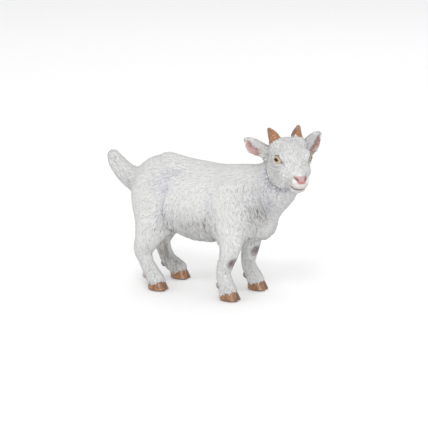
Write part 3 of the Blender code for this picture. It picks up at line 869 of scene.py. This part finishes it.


# Areas of the coat on both sides painted grey or brown, partly the toy's own washes on chest and belly
# and partly painted shade, in the creases at thigh, croup and elbow, under the tail and low on the
# body:
# strength, (x, out, z), radii
GREY_WASH_AND_SHADE_AREAS = [
    (0.95, (-11.3, 7.5, 33.0), (4.2, 4, 3.4)),
    (0.9, (-9.4, 5.5, 36.6), (4.4, 3, 1.3)),
    (0.8, (-11.2, 8.5, 25.5), (1.5, 3.5, 7)),
    (0.5, (4.5, 8.5, 28), (2.2, 4, 5)),
    (1.25, (20, 5, 31), (4, 4, 6)),
    (0.45, (-26, 0, 31), (4, 4, 3)),
]
BROWN_WASH_AND_SHADE_AREAS = [
    (0.9, (0.5, 8, 21.5), (8, 4.5, 2.4)),
    (0.5, (4.5, 8, 23.5), (2.5, 4, 3.5)),
    (1.15, (19, 5, 27), (3.2, 4, 6)),
    (0.6, (-10.4, 7.5, 20.5), (1.0, 3.5, 3.0)),
]
# Painted shade along the crease behind the jaw; the legs greyer towards the ground
GREY_JAW_SHADE, GREY_FEET = 0.95, 0.15
TRUNK_PAINTED_SHADE = (0.06, (-4, 0, 32), (24, 20, 16))  # painted shade, which makes the trunk's white a little darker than the head's and legs'


def wash_and_shade_areas(points):
    """How grey-lavender and how brown the coat is over whole areas: painted shade, partly the toy's
    washes.
    """
    places = outward(points)
    x, out, z = places.T
    grey = sum(share * patch(places, centre, radii) for share, centre, radii in GREY_WASH_AND_SHADE_AREAS)
    grey += GREY_FEET * rising(9 - z, 0, 5) + GREY_JAW_SHADE * jaw_crease(points, 0.9)
    brown = sum(share * patch(places, centre, radii) for share, centre, radii in BROWN_WASH_AND_SHADE_AREAS)
    # Painted shade: brown on the inner sides of the legs, more on the hind legs
    between_legs = rising(6.7 - out, 0, 1.4) * rising(21 - z, 0, 5)
    behind = 0.3 + 0.7 * rising(-x, 0, 6)
    return grey, brown + between_legs * behind * rising(out, 1.5, 3.5)


def streaks(points):
    """1 on narrow dark lines that run down and a little forward: painted shade, partly washes, between
    clumps.
    """
    x, y, z = points.T
    drawn_out = np.stack([x + 0.25 * z, y, 0.22 * z], 1)
    return rising(noise(drawn_out, 0.45, 1), 0.0, 0.5)


def painted(points, hollow, kind):
    """The toy's paint: white, with washes and painted shade in hollows and over areas, and bare parts.
    """
    blotch = 0.5 + 0.5 * noise(points, 2.6, 2)
    fine = 0.5 + 0.5 * noise(points, 0.7, 1)
    grey, brown = wash_and_shade_areas(points)
    colour = everywhere(WHITE, points) * (0.965 + 0.04 * fine[:, None])
    # Painted shade: the trunk a little darker than the head and legs
    share, centre, radii = TRUNK_PAINTED_SHADE
    colour *= 1 - share * patch(points, centre, radii)[:, None]
    streak = streaks(points)
    # Grey in the hollows, along the tufts' edges and roots and on the streaks, and brown within the
    # brown areas: partly the toy's washes, partly painted shade
    wash_and_shade = hollow * kind[:, 5] * (0.35 + 0.5 * blotch)
    wash_and_shade = wash_and_shade + grey * (0.12 + 0.7 * hollow + 0.25 * streak)
    dark = brown * (1.2 * hollow**1.5 + 0.6 * streak) * (0.5 + 0.7 * blotch)
    knees = [patch(points, KNEES[side], (1.7, 2.1, 2.2)) * (0.7 + 0.4 * fine) for side in SIDES]
    colour = mixed(colour, (LAVENDER, wash_and_shade), (UMBER, dark), *[(MAUVE, knee) for knee in knees])
    near = np.linalg.norm(points - HEAD[0], axis=1) < HEAD_REACH
    colour[near] = with_face_paint(colour[near], points[near], hollow[near], fine[near])
    return colour


def with_face_paint(colour, points, hollow, fine):
    coats = []
    for side in SIDES:
        # The left ear's darker pink is painted shade
        pink = inside_ear(points, side) * (0.75 + 0.3 * fine - 0.25 * hollow)
        dark_ear = 0.4 * ear_rim(points, side) + 0.4 * ear_strands(points, side)
        out, along, over = eye_frame(points, side)
        edge = lid_edge(points, side)
        close = rising(2.7 - np.abs(along), 0, 0.7) * rising(out, 0.3, 0.9)
        rim = falling(np.abs(edge - 0.12), 0.1, 0.34) * close
        line = falling(np.abs(edge - 0.34), 0.12, 0.32) * close
        line = line * (0.35 + 0.6 * rising(over, -0.5, 0.4))
        tear = 0.8 * falling(Face.tears[side](points), 0.06, 0.3)
        coats += [(EAR_PINKS_SHADED_LEFT[side], pink), (UMBER, dark_ear), (LID, rim), (LID_LINE, line), (TEAR, tear)]
    local = to_head(points)
    drop = -4.45 - local[:, 2]
    pad = rising(1.6 - 0.6 * drop - np.abs(local[:, 1]), -0.2, 0.3)
    pad = pad * falling(np.abs(drop), 0.85, 1.25) * rising(local[:, 0], 5.3, 5.9)
    # Painted shade: the muzzle a little darker where it faces the front light
    coats.append((MUZZLE_SHADE, 0.75 * patch(local, (6.0, 0, -6.2), (2.6, 3.2, 3.0))))
    coats.append((NOSE_PINK, pad * (0.66 + 0.34 * rising(drop, -0.2, 0.9))))
    for groove in Face.nostrils:
        coats.append((NOSTRIL, 0.9 * falling(groove(points), -0.02, 0.26)))
    coats.append((NOSTRIL, 0.35 * pad * falling(Face.philtrum(points), 0, 0.25)))
    coats.append((LIP_LINE, 0.9 * falling(Face.mouth(points), 0.02, 0.3)))
    return mixed(colour, *coats)


def ear_place(points, side):
    """Share along the ear, depth in from its lower and upper edges, and height off its face."""
    base, length, along, across, facing = ear_axes(side)
    q = points - base
    t = q @ along / length
    half = EAR_WIDTHS[side] / 2 * np.sqrt(np.clip(1 - ((t - 0.4) / 0.62) ** 2, 0.01, 1))
    sign = -np.sign(across[2])
    lower = (q @ across) * sign - EAR_BOW * np.sin(np.pi * np.clip(t, 0, 1) ** 0.8)
    return t, half - lower, half + lower, q @ facing


def inside_ear(points, side):
    """1 on the bare part of the ear's hollow, along its lower edge."""
    t, low, _, off = ear_place(points, side)
    wide = EAR_BARE[side] + 0.5 * noise(points, 0.55)
    bare = rising(t, 0.3, 0.46) * falling(t, 0.86, 0.96)
    bare = bare * rising(low, 0.25, 0.55) * falling(low, wide - 0.25, wide + 0.25)
    return bare * rising(off, -1.3, -0.8) * (np.abs(t - 0.5) < 0.6)


def ear_strands(points, side):
    """1 on dark lines that fan out of the ear's hollow from its root."""
    t, low, high, off = ear_place(points, side)
    base, length, _, across, facing = ear_axes(side)
    q = points - base
    drawn_out = np.stack([0.25 * t * length, q @ across, q @ facing], 1)
    strand = rising(noise(drawn_out, 0.5, 2), 0.0, 0.6)
    rooted = rising(t, -0.05, 0.1) * falling(t, 0.35, 0.7)
    return strand * rooted * (np.minimum(low, high) > -0.3) * (np.abs(off) < 1.6)


def ear_rim(points, side):
    """1 on the ear's upper edge."""
    t, _, high, _ = ear_place(points, side)
    return falling(high, 0.1, 0.7) * rising(t, 0.12, 0.3) * falling(t, 0.6, 1)


def bare(points):
    """1 where no tuft grows: eyes, nose, lips, inner ears, calluses and under horns and hooves."""
    local = to_head(points)
    pad = 1.2 - np.linalg.norm((local - (7.0, 0, -4.9)) / (2.2, 2.3, 1.5), axis=1)
    found = rising(pad, 0.0, 0.3)
    found = np.maximum(found, falling(Face.mouth(points), 0.2, 0.6))
    for side in SIDES:
        edge = lid_edge(points, side)
        out, along, _ = eye_frame(points, side)
        at_eye = falling(edge, 0.45, 0.8) * (out > 0) * (np.abs(along) < 2.4)
        found = np.maximum(found, at_eye * (np.abs(out) < 3))
        found = np.maximum(found, falling(Face.tears[side](points), 0.05, 0.3))
        found = np.maximum(found, inside_ear(points, side))
        found = np.maximum(found, patch(points, KNEES[side], (1.1, 1.6, 1.6)))
        found = np.maximum(found, (HORNS[side][0](points) < 0.05).astype(float))
    return found


HORNS = {side: horn(side) for side in SIDES}


# Materials -------------------------------------


def new_look(name, roughness):
    look = bpy.data.materials.new(name)
    look.use_nodes = True
    shader = look.node_tree.nodes["Principled BSDF"]
    shader.inputs["Roughness"].default_value = roughness
    return look, look.node_tree.nodes, look.node_tree.links, shader


def painted_look(name, roughness, coat, grain, tones, bump=None):
    """Vertex paint with a mottle over it: coat is (specular, weight, roughness) of the varnish, grain
    (size in mm, detail) of the mottle, tones its range and bump (strength, height in mm)."""
    look, nodes, links, shader = new_look(name, roughness)
    for socket, value in zip(("Specular IOR Level", "Coat Weight", "Coat Roughness"), coat):
        shader.inputs[socket].default_value = value
    paint = nodes.new("ShaderNodeAttribute")
    paint.attribute_name = "paint"
    where = nodes.new("ShaderNodeTexCoord")
    mottle = nodes.new("ShaderNodeTexNoise")
    mottle.inputs["Scale"].default_value = 1 / (grain[0] * MM)
    mottle.inputs["Detail"].default_value = grain[1]
    level = nodes.new("ShaderNodeMapRange")
    for socket, value in zip(("From Min", "From Max", "To Min", "To Max"), tones):
        level.inputs[socket].default_value = value
    tint = nodes.new("ShaderNodeVectorMath")
    tint.operation = "SCALE"
    links.new(where.outputs["Object"], mottle.inputs["Vector"])
    links.new(mottle.outputs["Fac"], level.inputs["Value"])
    links.new(paint.outputs["Color"], tint.inputs[0])
    links.new(level.outputs["Result"], tint.inputs["Scale"])
    links.new(tint.outputs["Vector"], shader.inputs["Base Color"])
    if bump:
        relief_node = nodes.new("ShaderNodeBump")
        relief_node.inputs["Strength"].default_value = bump[0]
        relief_node.inputs["Distance"].default_value = bump[1] * MM
        links.new(mottle.outputs["Fac"], relief_node.inputs["Height"])
        links.new(relief_node.outputs["Normal"], shader.inputs["Normal"])
    return look


def coat_look():
    """Matt paint over sculpted plastic."""
    tones = (0, 1, 0.96, 1.035)
    return painted_look("painted_coat", 0.62, (0.35, 0, 0.03), (0.45, 3), tones, (0.35, 0.05))


def horny_look(name, roughness, bump_height):
    """Painted horn or hoof, half gloss."""
    tones = (0.3, 0.7, 0.62, 1.3)
    return painted_look(name, roughness, (0.5, 0.6, 0.16), (0.8, 4), tones, (0.4, bump_height))


def eye_look():
    return painted_look("painted_eye", 0.4, (0.12, 0.08, 0.05), (0.3, 2), (0, 1, 0.85, 1.1))


# Pieces ----------------------------------------

FLESH_NODES = ["head", "nose_pad", "neck", "trunk", "tail", "ear_right", "ear_left"]
for kind_name, leg_side in FEET:
    for part in ("upper", "lower"):
        FLESH_NODES.append(f"{kind_name}leg_{SIDE_NAMES[leg_side]}_{part}")

# Grid of the skin's mesh, closer at the head: spans of (start, end, step) along x, y and z
SKIN_GRID = [
    [(-36, 20, 0.31), (20, 42.5, 0.17)],
    [(-19, 13.5, 0.24)],
    [(0.8, 34.5, 0.31), (34.5, 54.5, 0.17)],
]


def add_skin(look):
    """The skin, and what the coat needs to know of it at each of its points."""
    axes = [spread(*spans) for spans in SKIN_GRID]
    points, quads = surface_nets(sampled(skin, axes), axes)
    points = settled(skin, points)
    normals = slopes(skin, points)
    way, kind = coat_at(points, normals)
    height, hollow = relief(points, way, kind)
    calm = 1 - bare(points)
    points = points + normals * (height * calm)[:, None]
    add_piece("skin", points, quads, look, FLESH_NODES, painted(points, hollow * calm, kind))
    return points, quads, normals, way, kind


class Ground:
    """What the coat lies on: the skin, and the hooves and horns that it spills over, each as
    points and quads with the normal, the coat's lie and its kind at each point."""

    def __init__(self, surfaces):
        starts = np.cumsum([0] + [len(surface[0]) for surface in surfaces])
        quads = np.concatenate([surface[1] + start for surface, start in zip(surfaces, starts)])
        columns = [np.concatenate([surface[i] for surface in surfaces]) for i in (0, 2, 3, 4)]
        self.normals, self.ways, self.kinds = [column[quads].mean(1) for column in columns[1:]]
        self.tree = BVHTree.FromPolygons(columns[0].tolist(), quads.tolist())

    def nearest(self, points):
        """The places on the ground, its normals, lie and kind there."""
        found = [self.tree.find_nearest(point) for point in points.tolist()]
        spots = np.array([hit[0] for hit in found])
        faces = np.array([hit[2] for hit in found])
        normals = unit(self.normals[faces])
        way = self.ways[faces]
        way = unit(way - (way * normals).sum(1)[:, None] * normals)
        return spots, normals, way, self.kinds[faces]


def spaced(points, gaps, rng):
    """Indices of points that keep their own gap from each other, taken in a random order."""
    tree = KDTree(len(points))
    for i, point in enumerate(points):
        tree.insert(point, i)
    tree.balance()
    free = np.ones(len(points), bool)
    kept = []
    for i in rng.permutation(len(points)):
        if not free[i]:
            continue
        kept.append(i)
        for _, j, _ in tree.find_range(points[i], gaps[i]):
            free[j] = False
    return np.array(kept)


def scattered(points, quads, density, rng):
    """Random points over the faces, this many to a square millimetre."""
    corners = points[quads]
    across = np.cross(corners[:, 2] - corners[:, 0], corners[:, 3] - corners[:, 1])
    areas = np.linalg.norm(across, axis=1) / 2
    number = int(areas.sum() * density)
    chosen = rng.choice(len(quads), number, p=areas / areas.sum())
    u, v = rng.random((2, number, 1))
    a, b, c, d = corners[chosen].transpose(1, 0, 2)
    return (1 - u) * (1 - v) * a + u * (1 - v) * b + u * v * c + (1 - u) * v * d


# Along a tuft: share of its length, height and width there
TUFT_STATIONS = [(0.0, -0.6, 0.4), (0.25, 0.7, 0.95), (0.55, 1.0, 1.0), (0.8, 0.75, 0.62)]

# Two coats, one over the other: size along, across and up, how high it rides, how close it grows
LAYERS = [(1.1, 1.15, 1.1, 0.0, 0.60), (0.75, 0.55, 0.8, 0.75, 0.66)]


# How tufts differ: shares of their kind's length, width, height and lift, and radians
LENGTHS, WIDTHS, HEIGHTS, LIFTS = (0.75, 1.3), (0.7, 1.35), (0.7, 1.35), (0.2, 1.5)
TURN, CURL, CREST = 0.09, 0.13, 0.25
STRAY_SHARE, STRAY_LIFT = 0.06, 0.6  # a few tufts stand up by this share of their height
SHADE_CURVE = 2.6  # keeps the dark of a tuft's hollows to its edges


def tuft_faces():
    """The triangles of one tuft: rings of three points, a closed root and a tip."""
    tip = 3 * len(TUFT_STATIONS)
    faces = []
    for low in range(0, tip - 3, 3):
        for a, b in ((0, 1), (1, 2), (2, 0)):
            faces += [(low + a, low + b, low + 3 + b), (low + a, low + 3 + b, low + 3 + a)]
    faces += [(tip - 3 + a, tip - 3 + b, tip) for a, b in ((0, 1), (1, 2), (2, 0))]
    return np.array(faces + [(2, 1, 0)])


def tuft_mesh(ground, roots, layer, rng):
    """Solid locks along the ground: points, faces, hollow shade and kind of each point."""
    longer, wider, taller, ride, _ = layer
    number = len(roots)
    place, normals, way, kind = ground.nearest(roots)
    length = kind[:, 0] * rng.uniform(*LENGTHS, number) * longer
    width = kind[:, 1] * rng.uniform(*WIDTHS, number) * wider
    tall = kind[:, 2] * rng.uniform(*HEIGHTS, number) * taller
    lift = kind[:, 3] * rng.uniform(*LIFTS, number)
    base = ride * kind[:, 2]
    turn = rng.normal(0, TURN, number)
    curl = rng.normal(0, CURL, number)
    crest = rng.uniform(-CREST, CREST, number)
    lift += STRAY_LIFT * tall * (rng.random(number) < STRAY_SHARE)
    tone = rng.uniform(-1, 1, number) * (0.05 + 1.5 * kind[:, 4])
    rings, shades, kinds, last = [], [], [], 0.0
    for share, rise, wide in TUFT_STATIONS + [(1.0, 0.3, 0.0)]:
        across = np.cross(normals, way)
        step = unit(way + (turn + curl * share)[:, None] * across)
        place = place + ((share - last) * length)[:, None] * step
        place, normals, way, kind = ground.nearest(place)
        across = np.cross(normals, way)
        top = place + normals * (base + rise * tall + lift * share**2)[:, None]
        last = share
        if not wide:
            rings.append(top[:, None])
            shades.append(np.full((number, 1), 0.1) + tone[:, None])
            kinds.append(kind)
            continue
        half = (wide * width / 2)[:, None] * across
        foot = place + normals * (0.6 * lift * share**2 - 0.3 * tall)[:, None]
        top = top + crest[:, None] * 2 * half
        rings.append(np.stack([foot - half, top, foot + half], 1))
        edge = 1.05 - 0.3 * share
        shade = np.tile([edge, 0.6 - 0.55 * min(1, 2 * share), edge], (number, 1))
        shades.append(shade + tone[:, None])
        kinds += [kind] * 3
    points = np.concatenate(rings, 1)
    shades = np.clip(np.concatenate(shades, 1), 0, 1) ** SHADE_CURVE
    per = points.shape[1]
    faces = tuft_faces() + per * np.arange(number)[:, None, None]
    kinds = np.stack(kinds, 1).reshape(-1, kind.shape[1])
    return points.reshape(-1, 3), faces.reshape(-1, 3), shades.reshape(-1), kinds, per


CHART_BOX, CHART_STEP = [(-35, -18, 0.8), (42, 13, 54)], 0.9
CHART_ANGLE, CHART_MARGIN = 1.15, 0.004


def skin_chart():
    """A coarse copy of the skin, unwrapped: a tree of its faces with their corners and UVs."""
    points, quads = field_mesh(skin, *CHART_BOX, CHART_STEP)
    triangles = np.concatenate([quads[:, :3], quads[:, [0, 2, 3]]])
    mesh = bpy.data.meshes.new("chart")
    mesh.from_pydata(points.tolist(), [], triangles.tolist())
    helper = bpy.data.objects.new("chart", mesh)
    bpy.context.scene.collection.objects.link(helper)
    bpy.context.view_layer.objects.active = helper
    helper.select_set(True)
    bpy.ops.object.mode_set(mode="EDIT")
    bpy.ops.mesh.select_all(action="SELECT")
    bpy.ops.uv.smart_project(angle_limit=CHART_ANGLE, island_margin=CHART_MARGIN)
    bpy.ops.object.mode_set(mode="OBJECT")
    corners = np.empty(len(mesh.loops) * 2)
    mesh.uv_layers.active.data.foreach_get("uv", corners)
    corners = corners.reshape(-1, 3, 2)
    tree = BVHTree.FromPolygons(points.tolist(), triangles.tolist())
    bpy.data.objects.remove(helper)
    bpy.data.meshes.remove(mesh)
    return tree, points[triangles], corners


def chart_places(chart, roots):
    """Where each root lies on the unwrap."""
    tree, corners, uvs = chart
    places = np.empty((len(roots), 2))
    for i, root in enumerate(roots):
        spot, _, face, _ = tree.find_nearest(Vector(root))
        edges = (corners[face, 1:] - corners[face, 0]).T
        shares = np.linalg.lstsq(edges, np.array(spot) - corners[face, 0], rcond=None)[0]
        places[i] = uvs[face, 0] + shares @ (uvs[face, 1:] - uvs[face, 0])
    return places


ROOT_DENSITY = 24.0  # places tried for a root, to a square millimetre
LOWEST_ROOT = 1.6
UV_PATCH = 0.003  # width of a tuft's own patch of the unwrap
MOST_FACES = 190_000  # in one piece of the coat


def add_coat(look, skin_surface, ground, chart):
    rng = np.random.default_rng(SEED)
    number = 0
    for layer in LAYERS:
        roots = scattered(*skin_surface[:2], ROOT_DENSITY, rng)
        _, _, _, kind = ground.nearest(roots)
        grows = (bare(roots) < 0.5) & (roots[:, 2] > LOWEST_ROOT)
        roots, kind = roots[grows], kind[grows]
        gaps = layer[4] * np.sqrt(kind[:, 0] * layer[0] * kind[:, 1] * layer[1] * 0.5)
        roots = roots[spaced(roots, gaps, rng)]
        points, faces, shade, kinds, per = tuft_mesh(ground, roots, layer, rng)
        paint = painted(points, shade, kinds)
        each = len(faces) // len(roots)
        batch = MOST_FACES // each
        places = chart_places(chart, roots)
        corner_spots = rng.random((per, 2)) * UV_PATCH
        for start in range(0, len(roots), batch):
            number += 1
            end = min(start + batch, len(roots))
            own = slice(start * per, end * per)
            local = faces[start * each : end * each] - start * per
            piece = add_piece(f"coat_{number}", points[own], local, look, [], paint[own])
            uvs = piece.data.uv_layers.new(name="OFBake")
            spots = (places[start:end, None] + corner_spots).reshape(-1, 2)
            uvs.data.foreach_set("uv", spots[local.reshape(-1)].astype(np.float32).reshape(-1))


HORN_STEP, HOOF_STEP, DEWCLAW_STEP = 0.16, 0.17, 0.14
# Horn tan, and the dark of its tip, its rings and its painted shade
HORN_TAN, HORN_DARK_AND_SHADE = (0.30, 0.125, 0.04), (0.07, 0.045, 0.032)
# Hoof tan, and the dark of its painted shade
HOOF_TAN, HOOF_SHADE = (0.35, 0.155, 0.058), (0.07, 0.04, 0.024)
DEWCLAW_GREY = (0.34, 0.29, 0.29)
DEWCLAW_HALF, DEWCLAW_PITCH = (0.8, 0.62, 1.05), -30
OVER_HOOF = np.array([0.15, 0, -1.0])  # the way the fetlock's coat spills over a hoof


def add_fine(node, points, quads, look, paint):
    """A finer mesh in place of a solid."""
    add_piece(f"{node}_fine", points, quads, look, [node], paint)


def spilled_over(distance, points, quads, toward, kind):
    """The surface of a horn or hoof as the ground of a coat of this kind."""
    normals = slopes(distance, points)
    way = unit(toward - (normals @ toward)[:, None] * normals)
    return points, quads, normals, way, everywhere(KINDS[kind], points)


def horn_paint(points, base, axis):
    """Painted shade round the back and sides, leaving the tan front as a painted highlight; darker at
    the tip and on the growth rings.
    """
    up = (points - base) @ axis
    round_it = unit(points - base - up[:, None] * axis)
    front = round_it @ (HEAD[1] @ np.array([1.0, 0, 0]))
    # Painted shade round the back and sides, away from the head's front
    dark = falling(front, -0.1, 0.85) + 0.5 * rising(up, 4.4, 6.4)
    dark += 0.15 * (0.5 + 0.5 * np.sin(2 * np.pi * up / HORN_RING)) * (up < 6)
    dark = dark * (0.7 + 0.3 * noise(points, 0.8))
    return mixed(everywhere(HORN_TAN, points), (HORN_DARK_AND_SHADE, dark))


def add_horns(look):
    surfaces = []
    for side in SIDES:
        distance, low, high, _ = HORNS[side]
        points, quads = field_mesh(distance, low, high, HORN_STEP)
        base, tip = from_head(HORN_BASES[side]), from_head(HORN_TIPS[side])
        axis = unit(tip - base)
        paint = horn_paint(points, base, axis)
        add_fine(f"horn_{SIDE_NAMES[side]}", points, quads, look, paint)
        surfaces.append(spilled_over(distance, points, quads, axis, "crown"))
    return surfaces


def hoof_paint(points, foot, toward):
    """Painted shade: dark in the cleft, at the ground and under the hair line."""
    dark = 0.8 * falling(toward * (points[:, 1] - foot[1]), 0.1, 0.75)
    dark += 0.7 * falling(points[:, 2], 0.1, 0.55)
    dark += 0.55 * rising(coronet(points, foot), -0.75, 0.0)
    dark = dark * (0.75 + 0.35 * noise(points, 0.9))
    return mixed(everywhere(HOOF_TAN, points), (HOOF_SHADE, dark))


def add_hooves(look):
    surfaces = []
    for (kind, side), foot in FEET.items():
        for where, toward in (("inner", -side), ("outer", side)):
            distance, low, high, _ = claw(foot, toward)
            points, quads = field_mesh(distance, low, high, HOOF_STEP)
            name = f"hoof_{kind}leg_{SIDE_NAMES[side]}_{where}"
            add_fine(name, points, quads, look, hoof_paint(points, foot, toward))
            surfaces.append(spilled_over(distance, points, quads, OVER_HOOF, "fetlock"))
    return surfaces


def add_dewclaws(look):
    for kind, side in FEET:
        for where in ("inner", "outer"):
            name = f"dewclaw_{kind}leg_{SIDE_NAMES[side]}_{where}"
            centre = middle_of(name) - SHIFT
            distance, low, high, _ = ball(centre, DEWCLAW_HALF, DEWCLAW_PITCH)
            points, quads = field_mesh(distance, low, high, DEWCLAW_STEP)
            lower = rising(centre[2] - points[:, 2], -0.6, 0.9)
            paint = mixed(everywhere(DEWCLAW_GREY, points), (MAUVE, lower))
            add_fine(name, points, quads, look, paint)


IRIS, IRIS_EDGE = (0.40, 0.32, 0.215), (0.60, 0.54, 0.43)
IRIS_HALF, PUPIL_HALF = (1.15, 1.0), (0.68, 0.42)  # along the slit and across it
PUPIL = (0.016, 0.009, 0.003)
CORNEA_RISE = 0.12


def eyeball():
    """The points and triangles of a plain ball."""
    sphere = bmesh.new()
    bmesh.ops.create_uvsphere(sphere, u_segments=96, v_segments=64, radius=EYE_RADIUS)
    points = np.array([vertex.co for vertex in sphere.verts])
    triangles = bmesh.ops.triangulate(sphere, faces=sphere.faces[:])["faces"]
    faces = np.array([[vertex.index for vertex in face.verts] for face in triangles])
    sphere.free()
    return points, faces


def add_eyes(look):
    """Balls with a bulging cornea, the pupil across the slit between the lids."""
    local, plain_faces = eyeball()
    ahead = local[:, 2]
    bulged = local * (1 + CORNEA_RISE / EYE_RADIUS * rising(ahead, 1.0, 1.5))[:, None]
    iris, pupil = [np.linalg.norm(local[:, :2] / half, axis=1) for half in (IRIS_HALF, PUPIL_HALF)]
    iris = falling(iris, 0.75, 1.0) * (ahead > 0)
    pupil = falling(pupil, 0.9, 1.12) * (ahead > 0)
    colour = mixed(everywhere(IRIS_EDGE, local), (IRIS, iris), (PUPIL, pupil))
    for side in SIDES:
        centre, out, slit, up = eye_axes(side)
        axes = np.stack([slit, up, out])
        faces = plain_faces if np.linalg.det(axes) > 0 else plain_faces[:, ::-1]
        add_fine(f"eye_{SIDE_NAMES[side]}", centre + bulged @ axes, faces, look, colour)


# Stage -----------------------------------------

CAMERA_AZIMUTH, CAMERA_ELEVATION, CAMERA_DISTANCE = 26.0, 15.0, 440.0
VIEW_WIDTH = 128.4  # seen across the picture, at the figure
LOOK_AT = (2.2, 0.0, 23.9)
SENSOR = 36
CLIP = (0.01, 20)  # metres
SKY = 0.86
FLOOR, FLOOR_ROUGHNESS, FLOOR_HALF = (0.96, 0.96, 0.96), 0.9, 4.0  # metres from middle to edge

# Soft lamps: azimuth, elevation, distance and size in metres, watts
LAMPS = {
    "key": (20, 50, 0.6, 0.14, 0.72),
    "front": (32, 6, 0.7, 0.35, 2.3),
    "side": (-60, 20, 0.7, 0.4, 0.4),
    "back": (190, 50, 0.7, 0.5, 0.5),
}


def direction(azimuth, elevation):
    a, e = np.radians([azimuth, elevation])
    return np.array([np.sin(a) * np.cos(e), -np.cos(a) * np.cos(e), np.sin(e)])


def add_camera():
    back = direction(CAMERA_AZIMUTH, CAMERA_ELEVATION)
    camera = bpy.data.objects.new("camera", bpy.data.cameras.new("camera"))
    camera.data.sensor_width = SENSOR
    camera.data.lens = SENSOR * CAMERA_DISTANCE / VIEW_WIDTH
    camera.data.clip_start, camera.data.clip_end = CLIP
    camera.location = (np.array(LOOK_AT) + SHIFT + CAMERA_DISTANCE * back) * MM
    aimed(camera, back)
    bpy.context.scene.camera = camera


def aimed(thing, back):
    """Turns a camera or lamp to look against the way it stands off."""
    thing.rotation_mode = "QUATERNION"
    thing.rotation_quaternion = Vector(-back).to_track_quat("-Z", "Y")
    bpy.context.scene.collection.objects.link(thing)


def add_lamps():
    for name, (azimuth, elevation, distance, size, power) in LAMPS.items():
        lamp = bpy.data.objects.new(name, bpy.data.lights.new(name, "AREA"))
        lamp.data.size = size
        lamp.data.energy = power
        away = direction(azimuth, elevation)
        lamp.location = Vector(away * distance)
        aimed(lamp, away)


def add_stage():
    mesh = bpy.data.meshes.new("floor")
    corners = [(x * FLOOR_HALF, y * FLOOR_HALF, 0) for x, y in ((-1, -1), (1, -1), (1, 1), (-1, 1))]
    mesh.from_pydata(corners, [], [(0, 1, 2, 3)])
    look, _, _, shader = new_look("floor", FLOOR_ROUGHNESS)
    shader.inputs["Base Color"].default_value = (*FLOOR, 1)
    mesh.materials.append(look)
    floor = bpy.data.objects.new("floor", mesh)
    bpy.context.scene.collection.objects.link(floor)
    world = bpy.data.worlds.new("studio")
    world.use_nodes = True
    sky = world.node_tree.nodes["Background"]
    sky.inputs["Color"].default_value = (1, 1, 1, 1)
    sky.inputs["Strength"].default_value = SKY
    bpy.context.scene.world = world
    add_lamps()
    bpy.context.scene.view_settings.view_transform = "Standard"


def main():
    coat = coat_look()
    skin_surface = add_skin(coat)
    surfaces = [skin_surface] + add_horns(horny_look("painted_horn", 0.5, 0.05))
    surfaces += add_hooves(horny_look("painted_hoof", 0.38, 0.04))
    add_coat(coat, skin_surface, Ground(surfaces), skin_chart())
    add_dewclaws(horny_look("painted_dewclaw", 0.55, 0.03))
    add_eyes(eye_look())
    add_camera()
    add_stage()


main()
